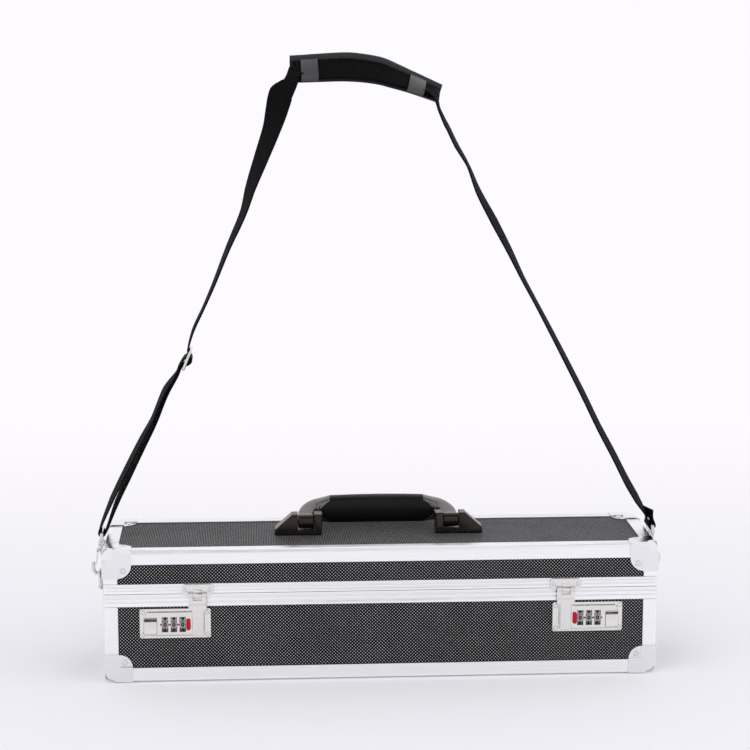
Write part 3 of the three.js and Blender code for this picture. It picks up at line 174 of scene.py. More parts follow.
def linked(name: str, data: bpy.types.ID) -> bpy.types.Object:
    """A new object of the scene with the given data."""
    item = bpy.data.objects.new(name, data)
    bpy.context.scene.collection.objects.link(item)
    return item


def smooth(mesh: bpy.types.Mesh, sharp: float) -> None:
    """Shades a mesh smooth, but for its edges past an angle in degrees."""
    mesh.polygons.foreach_set("use_smooth", np.ones(len(mesh.polygons), bool))
    mesh.set_sharp_from_angle(angle=math.radians(sharp))


def finished(name: str, mesh: bpy.types.Mesh) -> bpy.types.Object:
    """Puts a mesh in the scene with its faces outwards, smooth but for edges over 40 degrees."""
    work = bmesh.new()
    work.from_mesh(mesh)
    bmesh.ops.recalc_face_normals(work, faces=work.faces)
    work.to_mesh(mesh)
    work.free()
    smooth(mesh, 40.0)
    return linked(name, mesh)


def superellipse(sides: int, across: float, up: float) -> tuple[np.ndarray, np.ndarray]:
    """Points of a closed curve between an ellipse and its box.

    Args:
        sides: how many points it has.
        across: the power of its cosine, from 1 for an ellipse down to 0 for a box.
        up: the same for its sine.

    Returns:
        The points' two coordinates, each from -1 to 1.
    """
    turn = np.linspace(0, 2 * math.pi, sides, endpoint=False)
    c, s = np.cos(turn), np.sin(turn)
    return np.sign(c) * np.abs(c) ** across, np.sign(s) * np.abs(s) ** up


def revolved(profile: np.ndarray, centre: np.ndarray, axis: np.ndarray, sides: int) -> np.ndarray:
    """Rings of a profile turned about an axis.

    Args:
        profile: rows of radius and height, from one end to the other.
        centre: where the axis starts, as a point.
        axis: the way the heights run, at length 1.
        sides: how many points each ring has.

    Returns:
        The rings, one for each row of the profile.
    """
    aside = unit(np.cross(axis, [0.31, 0.52, 0.79]))
    other = np.cross(axis, aside)
    turn = np.linspace(0, 2 * math.pi, sides, endpoint=False)
    ring = np.cos(turn)[:, None] * aside + np.sin(turn)[:, None] * other
    return centre + profile[:, None, :1] * ring[None] + profile[:, None, 1:] * axis[None, None]


def dimpled_head(centre: np.ndarray, axis: np.ndarray, radius: float, height: float) -> np.ndarray:
    """Rings of a domed head with a small dimple: a quarter ellipse that dips again at its middle.

    Args:
        centre: the middle of the head's foot, in metres.
        axis: the way the head points.
        radius: the head's radius in millimetres.
        height: the head's height in millimetres.

    Returns:
        The rings in metres.
    """
    dimple_depth, dimple_radius = 0.45 * height, 0.26 * radius
    sunk, tip = 0.3, 0.02
    turn = np.linspace(0, math.pi / 2, 8)
    across = radius * np.cos(turn)
    up = height * np.sin(turn)
    up = up - dimple_depth * np.exp(-((across / dimple_radius) ** 2))
    profile = np.column_stack([np.append(radius, np.maximum(across, tip)), np.append(-sunk, up)])
    return revolved(profile * MM, centre, axis, 20)


def joined(name: str, pieces: list[bpy.types.Object]) -> bpy.types.Object:
    """One object made of several, which it takes the place of.

    Args:
        name: the new piece's name.
        pieces: the objects, with their places in their meshes.

    Returns:
        The new object.
    """
    work = bmesh.new()
    for piece in pieces:
        work.from_mesh(piece.data)
        bpy.data.objects.remove(piece)
    mesh = bpy.data.meshes.new(name)
    work.to_mesh(mesh)
    work.free()
    return finished(name, mesh)


def softened(node: str, edge: float, sharp: float = 35.0) -> bpy.types.Object:
    """A merged copy of a node with its edges rounded, which stands for the node.

    Args:
        node: the node's name.
        edge: the width of the rounding in millimetres.
        sharp: the angle in degrees past which an edge is rounded.

    Returns:
        The copy, riding on the node's body.
    """
    source = frame["nodes"][node]
    work = bmesh.new()
    work.from_mesh(source.data)
    bmesh.ops.remove_doubles(work, verts=work.verts, dist=MERGED)
    bmesh.ops.dissolve_limit(work, angle_limit=math.radians(FLAT), verts=work.verts, edges=work.edges)
    mesh = bpy.data.meshes.new(f"{node}.finished")
    work.to_mesh(mesh)
    work.free()
    smooth(mesh, sharp)
    piece = linked(f"{node}.finished", mesh)
    bevel = piece.modifiers.new("Edges", "BEVEL")
    bevel.width = edge * MM
    bevel.segments = 2
    bevel.limit_method = "ANGLE"
    bevel.angle_limit = math.radians(sharp)
    bevel.harden_normals = True
    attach(piece, source["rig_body"])
    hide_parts(node)
    return piece


# ---------------------------------------------------------------- material graphs


class Graph:
    """Places nodes in a node tree and joins them."""

    def __init__(self, tree: bpy.types.NodeTree) -> None:
        """Keeps the tree that the nodes go into."""
        self.tree = tree

    def add(self, kind: str, inputs: dict | None = None, **settings: object) -> bpy.types.Node:
        """Adds one node.

        Args:
            kind: the node's type name without its ShaderNode prefix.
            inputs: for each input's name or number, a value, or the output that feeds it.
            settings: the node's own settings.

        Returns:
            The new node.
        """
        prefix = "" if kind.startswith("Node") else "ShaderNode"
        node = self.tree.nodes.new(prefix + kind)
        for key, value in settings.items():
            setattr(node, key, value)
        self.feed(node, inputs or {})
        return node

    def feed(self, node: bpy.types.Node, inputs: dict) -> None:
        """Sets a node's inputs.

        Args:
            node: the node.
            inputs: for each input's name or number, a value, or the output that feeds it. A colour may
                leave out its alpha.
        """
        for key, value in inputs.items():
            socket = node.inputs[key]
            if isinstance(value, bpy.types.NodeSocket):
                self.tree.links.new(value, socket)
            elif socket.type == "RGBA" and len(value) == 3:
                socket.default_value = (*value, 1.0)
            else:
                socket.default_value = value

    def math(self, operation: str, a: object, b: object = 0.0) -> bpy.types.NodeSocket:
        """The result of a Math node."""
        return self.add("Math", {0: a, 1: b}, operation=operation).outputs[0]

    def noise(self, vector: object, scale: object, detail: float, rough: float = 0.5) -> bpy.types.NodeSocket:
        """Noise of some scale, detail and roughness at a vector."""
        inputs = {"Vector": vector, "Scale": scale, "Detail": detail, "Roughness": rough}
        return self.add("TexNoise", inputs).outputs["Fac"]

    def relief(self, height: object, strength: object, distance: float) -> bpy.types.NodeSocket:
        """The normal of a height that counts with some strength and is at most so many metres."""
        inputs = {"Strength": strength, "Distance": distance, "Height": height}
        return self.add("Bump", inputs).outputs["Normal"]

    def ramp(
        self, value: object, low: float, high: float, to_low: float, to_high: float
    ) -> bpy.types.NodeSocket:
        """A value carried smoothly from one range to another."""
        inputs = {"Value": value, "From Min": low, "From Max": high, "To Min": to_low, "To Max": to_high}
        return self.add("MapRange", inputs, interpolation_type="SMOOTHSTEP").outputs["Result"]

    def blend(self, share: object, first: object, second: object) -> bpy.types.NodeSocket:
        """A colour between two colours.

        Args:
            share: how much of the second there is, from 0 to 1.
            first: a colour, or the output that gives it.
            second: the same for the other end.

        Returns:
            The mixed colour.
        """
        return self.add("Mix", {0: share, 6: first, 7: second}, data_type="RGBA").outputs[2]


class Effects:
    """The surface effects that several finishes share, each one node group made on first use."""

    def __init__(self) -> None:
        """Starts with no group made."""
        self.made: dict[str, bpy.types.NodeTree] = {}

    def group(
        self, name: str, outputs: tuple[str, ...], **numbers: float
    ) -> tuple[Graph, bpy.types.NodeOutputs, bpy.types.Node]:
        """Makes an empty group, with a vector as its first input.

        Args:
            name: the group's name.
            outputs: its outputs' names. One named Normal is a vector, and the others are numbers.
            numbers: for each further input its starting number.

        Returns:
            The group's graph, the outputs of its input node and its output node.
        """
        tree = bpy.data.node_groups.new(name, "ShaderNodeTree")
        tree.interface.new_socket(name="Vector", in_out="INPUT", socket_type="NodeSocketVector")
        for label, value in numbers.items():
            socket = tree.interface.new_socket(name=label, in_out="INPUT", socket_type="NodeSocketFloat")
            socket.default_value = value
        for label in outputs:
            kind = "NodeSocketVector" if label == "Normal" else "NodeSocketFloat"
            tree.interface.new_socket(name=label, in_out="OUTPUT", socket_type=kind)
        graph = Graph(tree)
        self.made[name] = tree
        return graph, graph.add("NodeGroupInput").outputs, graph.add("NodeGroupOutput")

    def place(self, graph: Graph, name: str, inputs: dict[str, object]) -> bpy.types.NodeOutputs:
        """Puts a group into a material, making the group first if need be.

        Args:
            graph: the material's graph.
            name: the group's name, which is also that of the method that makes it.
            inputs: for each input a value, or the output that feeds it.

        Returns:
            The outputs of the group's node in the material.
        """
        if name not in self.made:
            getattr(self, name)()
        return graph.add("Group", inputs, node_tree=self.made[name]).outputs

    def brushed(self) -> None:
        """Fine lines left by drawing or polishing: noise on a stretched vector, as a shade and a relief."""
        graph, given, out = self.group("brushed", ("Shade", "Normal"), Scale=900.0, Depth=0.1)
        fine = graph.noise(given["Vector"], given["Scale"], 3.0)
        shade = graph.ramp(fine, 0.3, 0.7, 0.0, 1.0)
        graph.feed(out, {"Shade": shade, "Normal": graph.relief(fine, given["Depth"], 0.0001)})

    def handling(self) -> None:
        """Smudges and light marks from use: broad noise broken up by finer noise, as one mask."""
        graph, given, out = self.group("handling", ("Mask",), Scale=25.0)
        broad = graph.noise(given["Vector"], given["Scale"], 4.0, 0.65)
        fine = graph.noise(given["Vector"], graph.math("MULTIPLY", given["Scale"], 9.0), 2.0)
        both = graph.math("MULTIPLY", broad, graph.ramp(fine, 0.2, 0.8, 0.7, 1.2))
        graph.feed(out, {"Mask": graph.ramp(both, 0.35, 0.65, 0.0, 1.0)})

    def lattice(self) -> None:
        """Small dots on a square lattice that is turned by an eighth, as a mask with soft rims."""
        graph, given, out = self.group("lattice", ("Mask",), Pitch=0.003, Dot=0.2)
        parts = graph.add("SeparateXYZ", {0: given["Vector"]}).outputs
        squares = []
        for operation in ("ADD", "SUBTRACT"):
            cell = graph.math("DIVIDE", graph.math(operation, parts[0], parts[1]), given["Pitch"])
            offset = graph.math("SUBTRACT", cell, graph.math("ROUND", cell))
            squares.append(graph.math("MULTIPLY", offset, offset))
        away = graph.math("SQRT", graph.math("ADD", *squares))
        edge = graph.math("SUBTRACT", given["Dot"], away)
        graph.feed(out, {"Mask": graph.ramp(edge, -0.06, 0.06, 0.0, 1.0)})

    def grain(self) -> None:
        """The fine grain of moulded plastic: small rounded cells as a relief, and a faint broad shade."""
        graph, given, out = self.group("grain", ("Shade", "Normal"), Scale=1500.0, Depth=0.2)
        at = {name: given[name] for name in ("Vector", "Scale")}
        cells = graph.add("TexVoronoi", at, feature="SMOOTH_F1").outputs["Distance"]
        broad = graph.noise(given["Vector"], 60.0, 2.0)
        graph.feed(out, {"Shade": broad, "Normal": graph.relief(cells, given["Depth"], 0.0002)})

    def ribs(self) -> None:
        """Cross ribs of webbing on a map in millimetres: a wave along it, cut by the warp across it."""
        graph, given, out = self.group("ribs", ("Shade", "Height"), Pitch=1.7, Warp=0.9)
        parts = graph.add("SeparateXYZ", {0: given["Vector"]}).outputs
        waves = []
        for part, spacing in ((1, "Pitch"), (0, "Warp")):
            cycles = graph.math("DIVIDE", parts[part], given[spacing])
            waves.append(graph.math("SINE", graph.math("MULTIPLY", cycles, 2 * math.pi)))
        along, across = waves
        rib = graph.ramp(along, -0.9, 0.7, 0.0, 1.0)
        height = graph.math("ADD", rib, graph.math("MULTIPLY", across, 0.12))
        graph.feed(out, {"Shade": rib, "Height": height})


effects = Effects()


def new_material(name: str) -> tuple[bpy.types.Material, Graph, bpy.types.Node]:
    """An empty material with its output and one Principled BSDF.

    Args:
        name: the material's name.

    Returns:
        The material, its graph and its shader.
    """
    material = bpy.data.materials.new(name)
    material.use_nodes = True
    material.node_tree.nodes.clear()
    graph = Graph(material.node_tree)
    shader = graph.add("BsdfPrincipled")
    graph.add("OutputMaterial", {"Surface": shader.outputs[0]})
    return material, graph, shader


@dataclass(frozen=True)
class MetalFinish:
    """Bare or plated metal with drawn lines and marks from handling."""

    name: str
    colour: Colour
    roughness: float
    stretch: tuple[float, float, float] = (1.0, 1.0, 1.0)
    depth: float = 0.08
    marks: float = 0.1
    tint: float = 0.06
    metallic: float = 1.0

    def material(self) -> bpy.types.Material:
        """Makes the material."""
        material, graph, shader = new_material(self.name)
        place = graph.add("TexCoord").outputs["Object"]
        lines = graph.add("Mapping", {"Vector": place, "Scale": self.stretch}).outputs[0]
        brushed = effects.place(graph, "brushed", {"Vector": lines, "Depth": self.depth})
        marks = effects.place(graph, "handling", {"Vector": place})["Mask"]
        dark = tuple(c * (1 - self.tint) for c in self.colour)
        graph.feed(shader, {
            "Base Color": graph.blend(brushed["Shade"], dark, self.colour),
            "Roughness": graph.math("ADD", graph.math("MULTIPLY", marks, self.marks), self.roughness),
            "Normal": brushed["Normal"],
            "Metallic": self.metallic,
        })
        return material


class Facing(Enum):
    """Which way a panel faces, as the turn in degrees that lays its face into X and Y."""

    FRONT = (90.0, 0.0, 0.0)
    END = (0.0, 90.0, 0.0)
    TOP = (0.0, 0.0, 0.0)


@dataclass(frozen=True)
class LaminateFinish:
    """Black laminate with raised light dots on a diagonal lattice."""

    name: str
    facing: Facing
    ground: Colour = (0.0015, 0.0015, 0.0018)
    dots: Colour = (0.54, 0.54, 0.56)
    pitch: float = 3.02
    dot: float = 0.20

    def material(self) -> bpy.types.Material:
        """Makes the material."""
        material, graph, shader = new_material(self.name)
        place = graph.add("TexCoord").outputs["Object"]
        turn = tuple(math.radians(a) for a in self.facing.value)
        laid = graph.add("Mapping", {"Vector": place, "Rotation": turn}).outputs[0]
        given = {"Vector": laid, "Pitch": self.pitch * MM, "Dot": self.dot}
        mask = effects.place(graph, "lattice", given)["Mask"]
        marks = effects.place(graph, "handling", {"Vector": place})["Mask"]
        dots = graph.blend(marks, self.dots, tuple(c * 0.8 for c in self.dots))
        graph.feed(shader, {
            "Base Color": graph.blend(mask, self.ground, dots),
            "Roughness": graph.ramp(mask, 0.0, 1.0, 0.55, 0.4),
            "Normal": graph.relief(mask, 0.5, 0.0002),
            "Specular IOR Level": 0.1,
        })
        return material


@dataclass(frozen=True)
class MouldedFinish:
    """Moulded plastic or rubber with a fine grain."""

    name: str
    colour: Colour
    roughness: float
    scale: float = 1500.0
    depth: float = 0.15
    gloss: float = 0.2

    def material(self) -> bpy.types.Material:
        """Makes the material."""
        material, graph, shader = new_material(self.name)
        place = graph.add("TexCoord").outputs["Object"]
        grain = effects.place(graph, "grain", {"Vector": place, "Scale": self.scale, "Depth": self.depth})
        marks = effects.place(graph, "handling", {"Vector": place})["Mask"]
        pale = tuple(min(c * 1.25, 1.0) for c in self.colour)
        graph.feed(shader, {
            "Base Color": graph.blend(grain["Shade"], self.colour, pale),
            "Roughness": graph.math("ADD", graph.math("MULTIPLY", marks, 0.08), self.roughness),
            "Normal": grain["Normal"],
            "Specular IOR Level": self.gloss,
        })
        return material


@dataclass(frozen=True)
class WebbingFinish:
    """Woven nylon on a map in millimetres."""

    name: str
    low: Colour = (0.0008, 0.0008, 0.001)
    high: Colour = (0.0075, 0.0075, 0.0085)

    def material(self) -> bpy.types.Material:
        """Makes the material."""
        material, graph, shader = new_material(self.name)
        place = graph.add("UVMap", uv_map="UVMap").outputs[0]
        ribs = effects.place(graph, "ribs", {"Vector": place})
        graph.feed(shader, {
            "Base Color": graph.blend(ribs["Shade"], self.low, self.high),
            "Roughness": graph.ramp(ribs["Shade"], 0.0, 1.0, 0.9, 0.62),
            "Normal": graph.relief(ribs["Height"], 0.8, 0.0005),
            "Specular IOR Level": 0.05,
        })
        return material


@dataclass(frozen=True)
class ClothFinish:
    """Napped cloth over foam."""

    name: str
    colour: Colour = (0.022, 0.022, 0.025)

    def material(self) -> bpy.types.Material:
        """Makes the material."""
        material, graph, shader = new_material(self.name)
        place = graph.add("TexCoord").outputs["Object"]
        nap = graph.noise(place, 1800.0, 4.0)
        broad = effects.place(graph, "handling", {"Vector": place, "Scale": 14.0})["Mask"]
        pale = tuple(c * 1.9 for c in self.colour)
        shade = graph.math("ADD", graph.math("MULTIPLY", nap, 0.6), graph.math("MULTIPLY", broad, 0.3))
        graph.feed(shader, {
            "Base Color": graph.blend(shade, self.colour, pale),
            "Roughness": 0.95,
            "Normal": graph.relief(nap, 0.6, 0.0004),
            "Sheen Weight": 0.3,
        })
        return material


class Finishes:
    """Every finish of the case, each made into a material once."""

    def __init__(self) -> None:
        """Makes the materials."""
        metals = (
            MetalFinish("satin_edging", (0.985, 0.985, 0.99), 0.30, (0.02, 0.02, 1.2), tint=0.04),
            MetalFinish("plated_cap", (0.86, 0.86, 0.87), 0.14, depth=0.04, tint=0.02),
            MetalFinish("plated_lock", (0.82, 0.80, 0.775), 0.18, (0.05, 1.0, 1.0), tint=0.03),
            # the wheels' plating is painted darker than the silver wheels are, as painted shade in the dials'
            # slots
            MetalFinish("wheel_plating_painted_shade", (0.42, 0.42, 0.43), 0.25, (0.1, 1.0, 1.0), depth=0.15),
            MetalFinish("plated_wire", (0.74, 0.73, 0.70), 0.12, depth=0.02, marks=0.08, tint=0.02),
            MetalFinish("dark_bronze", (0.040, 0.030, 0.027), 0.22, tint=0.15, metallic=0.85),
            # the arms' bronze is the feet's bronze painted lighter, a painted highlight for the light the arms
            # catch
            MetalFinish("bronze_painted_light", (0.17, 0.16, 0.16), 0.22, tint=0.1, metallic=0.9),
        )
        self.edging, self.cap, self.lock, self.wheel, self.wire, self.bronze, self.arm = (
            metal.material() for metal in metals
        )
        self.front = LaminateFinish("dotted_front", Facing.FRONT).material()
        self.end = LaminateFinish("dotted_end", Facing.END).material()
        # the top's dots are painted lighter than the front's, a painted sheen for the light the top catches at
        # its glancing angle
        self.top = LaminateFinish("dotted_top_painted_sheen", Facing.TOP, dots=(0.70, 0.70, 0.72)).material()
        mouldings = (
            MouldedFinish("grip_plastic", (0.0025, 0.0025, 0.003), 0.38, depth=0.05),
            MouldedFinish("pad_rubber", (0.020, 0.020, 0.021), 0.42),
            MouldedFinish("keeper_plastic", (0.050, 0.050, 0.053), 0.28, depth=0.03, gloss=0.25),
            MouldedFinish("red_plastic", (0.38, 0.003, 0.014), 0.30, depth=0.03),
            MouldedFinish("red_ink", (0.24, 0.002, 0.022), 0.6, depth=0.0, gloss=0.1),
            MouldedFinish("digit_ink", (0.004, 0.004, 0.005), 0.6, gloss=0.1),
        )
        self.grip, self.pad, self.keeper, self.red, self.red_ink, self.ink = (
            moulding.material() for moulding in mouldings
        )
        self.webbing = WebbingFinish("woven_nylon").material()
        self.cloth = ClothFinish("lining_cloth").material()


def dress(piece: bpy.types.Object, material: bpy.types.Material) -> None:
    """Gives a piece one material.

    Args:
        piece: a new piece or a node's object.
        material: the material.
    """
    piece.data.materials.clear()
    piece.data.materials.append(material)


# ---------------------------------------------------------------- the case


@dataclass
class CaseShell:
    """Panels, edging, corner caps and linings."""

    finishes: Finishes
    length: float = 500.0
    depth: float = 120.0
    height: float = 121.0
    flange: float = 12.8
    ear_inset: float = 5.2
    rivet_radius: float = 2.75
    rivet_height: float = 1.15
    cap_wall: float = 0.9
    cap_gap: float = 0.2
    panel_inset: float = 1.2
    panel_wall: float = 4.0
    lid_lining: float = 2.6
    lining_gap: float = 0.2
    lining_edge: float = 0.6
    lining_power: float = 0.16

    # the lid lining's section: the share of its way out, and how far down its thickness
    lining_rows = (
        (0.6, 1.0), (0.93, 1.0), (0.985, 0.92), (1.0, 0.6), (1.0, 0.12), (0.985, 0.0), (0.93, 0.0), (0.6, 0.0),
    )

    def build(self) -> None:
        """Makes and dresses every piece of the shell."""
        self.panels()
        self.edging()
        self.rivets()
        self.linings()

    def panels(self) -> None:
        """Gives each panel the dotted laminate laid into its own plane."""
        front, end, top = self.finishes.front, self.finishes.end, self.finishes.top
        # the top and bottom take the laminate whose dots are painted lighter, a painted sheen
        ways = {"front": front, "back": front, "left": end, "right": end, "top": top, "bottom": top}
        for name, node in frame["nodes"].items():
            if name.endswith("_panel"):
                dress(node, ways[name.split("_")[1]])

    def edging(self) -> None:
        """Rounds the edges of the aluminium edging and of the pressed caps."""
        for name in sorted(frame["nodes"]):
            if name.endswith("_edging"):
                dress(softened(name, 0.25), self.finishes.edging)
            elif "_cap_" in name:
                dress(softened(name, 0.3), self.finishes.cap)

    def rivets(self) -> None:
        """Lays a smooth dimpled head over each rivet of the caps, one piece for each half of the case."""
        edge = self.flange + self.cap_gap + self.ear_inset
        up = self.cap_wall - (self.panel_inset - self.cap_gap)
        for half, low in (("base", True), ("lid", False)):
            heads = []
            for sx in (-1, 1):
                for sy in (-1, 1):
                    x, y = sx * (self.length / 2 - edge), sy * (self.depth / 2 - edge)
                    z = edge if low else self.height - edge
                    spots = (
                        ((x, y, -up if low else self.height + up), (0.0, 0.0, -1.0 if low else 1.0)),
                        ((x, sy * (self.depth / 2 + up), z), (0.0, float(sy), 0.0)),
                        ((sx * (self.length / 2 + up), y, z), (float(sx), 0.0, 0.0)),
                    )
                    for at, axis in spots:
                        centre = (np.array(at) + np.array([0.0, 0.0, STAND])) * MM
                        rings = dimpled_head(centre, np.array(axis), self.rivet_radius, self.rivet_height)
                        heads.append(surface("head", rings))
            piece = joined(f"{half}_cap_rivets", heads)
            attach(piece, half)
            dress(piece, self.finishes.wire)

    def linings(self) -> None:
        """Covers the base's foam with cloth and lays a thin padded sheet under the lid's top.

        The sheet's rings are superellipses that draw in from its widest outline towards both faces.
        """
        tray = softened("base_lining", 1.0)
        dress(tray, self.finishes.cloth)
        top = self.height - self.panel_inset - self.panel_wall - self.lining_gap
        half_x = self.length / 2 - self.panel_inset - self.panel_wall - self.lining_edge
        half_y = self.depth / 2 - self.panel_inset - self.panel_wall - self.lining_edge
        across, along = superellipse(96, self.lining_power, self.lining_power)
        shares, drops = np.array(self.lining_rows).T[..., None]
        inset = (1 - shares) * half_y
        z = top - self.lid_lining * drops + STAND
        rings = points_of(across * (half_x - inset), along * (half_y - inset), z)
        piece = surface("lid_lining", rings * MM)
        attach(piece, "lid")
        dress(piece, self.finishes.cloth)


@dataclass
class CombinationLock:
    """One lock with its dials, digits, red line, button, lever, hasp and rivets."""

    finishes: Finishes
    side: str
    offset: float = 186.2
    height: float = 54.0
    face: float = 61.7
    foot: float = 60.2
    dial_radius: float = 8.8
    dial_width: float = 5.0
    dial_pitch: float = 7.9
    dial_offset: float = 1.2
    dial_drop: float = 0.8
    dial_proud: float = 0.5
    dial_flat: float = 18 * 0.82
    digit_height: float = 3.9
    digit_spread: float = 1.15
    digit_relief: float = 0.6
    stroke: float = 0.055
    slot_gap: float = 0.35
    line_height: float = 1.6
    line_relief: float = 0.06
    line_lap: float = 0.1
    line_from: float = 13.7
    line_to: float = -9.9
    screw_across: float = 29.0
    screw_up: float = 10.4
    screw_radius: float = 2.25
    screw_height: float = 1.35
    plate_offset: float = -20.2
    plate_face: float = 61.4
    plate_rivet_up: float = 84.95
    plate_rivet_across: float = 11.0
    plate_rivet_radius: float = 1.95
    plate_rivet_height: float = 0.95

    @property
    def sign(self) -> float:
        """-1 on the left and 1 on the right."""
        return -1.0 if self.side == "left" else 1.0

    def across(self, offset: float) -> float:
        """The place along X of an offset that runs outwards from the lock's centre."""
        return self.sign * (self.offset + offset)

    def build(self) -> None:
        """Makes and dresses the lock's pieces."""
        for name, edge in (("lock", 0.2), ("hasp", 0.25), ("hasp_plate", 0.2), ("release_button", 0.25)):
            dress(softened(f"{name}_{self.side}", edge), self.finishes.lock)
        dress(softened(f"code_lever_{self.side}", 0.2), self.finishes.red)
        for index in (1, 2, 3):
            # the dials take the plating painted darker, as painted shade in their slots
            dress(frame["nodes"][f"dial_{self.side}_{index}"], self.finishes.wheel)
            self.digits(index)
        self.red_line()
        self.screws()

    def digits(self, index: int) -> None:
        """Lays the ten digits on a dial's flats, the nought to the front and the rest in order below it.

        A digit's width stays across the dial, and its height and relief turn about the axle.

        Args:
            index: which dial, from 1.
        """
        centre_y = -(self.face + self.dial_proud - self.dial_radius)
        centre_z = self.height - self.dial_drop + STAND
        x = self.across(self.dial_offset + (2 - index) * self.dial_pitch)
        flat = self.dial_radius * math.cos(math.radians(self.dial_flat))
        glyphs = []
        for value in range(10):
            curve = bpy.data.curves.new("digit", "FONT")
            curve.body = str(value)
            curve.align_x, curve.align_y = "CENTER", "CENTER"
            curve.extrude = 0.02
            curve.offset = self.stroke
            holder = linked("digit", curve)
            bpy.context.view_layer.update()
            graph = bpy.context.evaluated_depsgraph_get()
            mesh = bpy.data.meshes.new_from_object(holder.evaluated_get(graph))
            bpy.data.objects.remove(holder)
            points = np.zeros(len(mesh.vertices) * 3, np.float32)
            mesh.vertices.foreach_get("co", points)
            points = points.reshape(-1, 3)
            low, high = points.min(0), points.max(0)
            points -= (low + high) / 2
            points *= self.digit_height / (high[1] - low[1])
            turn = math.radians(36 * value)
            up, out = points[:, 1], flat + points[:, 2] * self.digit_relief
            placed = np.column_stack([
                x + points[:, 0] * self.digit_spread,
                centre_y - out * math.cos(turn) - up * math.sin(turn),
                centre_z + up * math.cos(turn) - out * math.sin(turn),
            ])
            mesh.vertices.foreach_set("co", (placed * MM).astype(np.float32).ravel())
            glyphs.append(linked("digit", mesh))
        piece = joined(f"digits_{self.side}_{index}", glyphs)
        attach(piece, f"dial_{self.side}_{index}")
        dress(piece, self.finishes.ink)

    def red_line(self) -> None:
        """Paints the reading line: a thin strip with round edges between the dials' slots."""
        half = self.dial_width / 2 + self.slot_gap
        middles = [self.dial_offset + step * self.dial_pitch for step in (1, 0, -1)]
        stops = [self.line_from] + [v for m in middles for v in (m + half, m - half)] + [self.line_to]
        z = self.height - self.dial_drop + STAND
        turn = np.linspace(0, 2 * math.pi, 12, endpoint=False)
        strips = []
        for start, end in zip(stops[0::2], stops[1::2]):
            spread = np.linspace(start - self.line_lap, end + self.line_lap, 4)
            rings = points_of(
                self.across(0) + self.sign * spread[:, None],
                -self.face - self.line_relief * np.sin(turn),
                z + self.line_height / 2 * np.cos(turn),
            )
            strips.append(surface("strip", rings * MM))
        piece = joined(f"red_line_{self.side}", strips)
        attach(piece, "base")
        dress(piece, self.finishes.red_ink)

    def screws(self) -> None:
        """Lays a smooth dimpled head over each corner screw and over the plate's two rivets."""
        ways, face = (-1, 1), -self.plate_face
        screws = [
            (x * self.screw_across, -self.foot, self.height + z * self.screw_up) for x in ways for z in ways
        ]
        self.heads("lock_screws", "base", screws, self.screw_radius, self.screw_height)
        rivets = [(self.plate_offset + x * self.plate_rivet_across, face, self.plate_rivet_up) for x in ways]
        self.heads("hasp_rivets", "lid", rivets, self.plate_rivet_radius, self.plate_rivet_height)

    def heads(
        self, name: str, body: str, spots: list[tuple[float, float, float]], radius: float, height: float
    ) -> None:
        """Makes one piece of several heads that face the front.

        Args:
            name: the piece's name without its side.
            body: what it rides on.
            spots: each head's way out from the lock's centre, and its Y and Z, in millimetres.
            radius: the heads' radius in millimetres.
            height: their height in millimetres.
        """
        heads = []
        for offset, y, z in spots:
            centre = np.array([self.across(offset), y, z + STAND]) * MM
            heads.append(surface("head", dimpled_head(centre, np.array([0.0, -1.0, 0.0]), radius, height)))
        piece = joined(f"{name}_{self.side}", heads)
        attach(piece, body)
        dress(piece, self.finishes.wire)


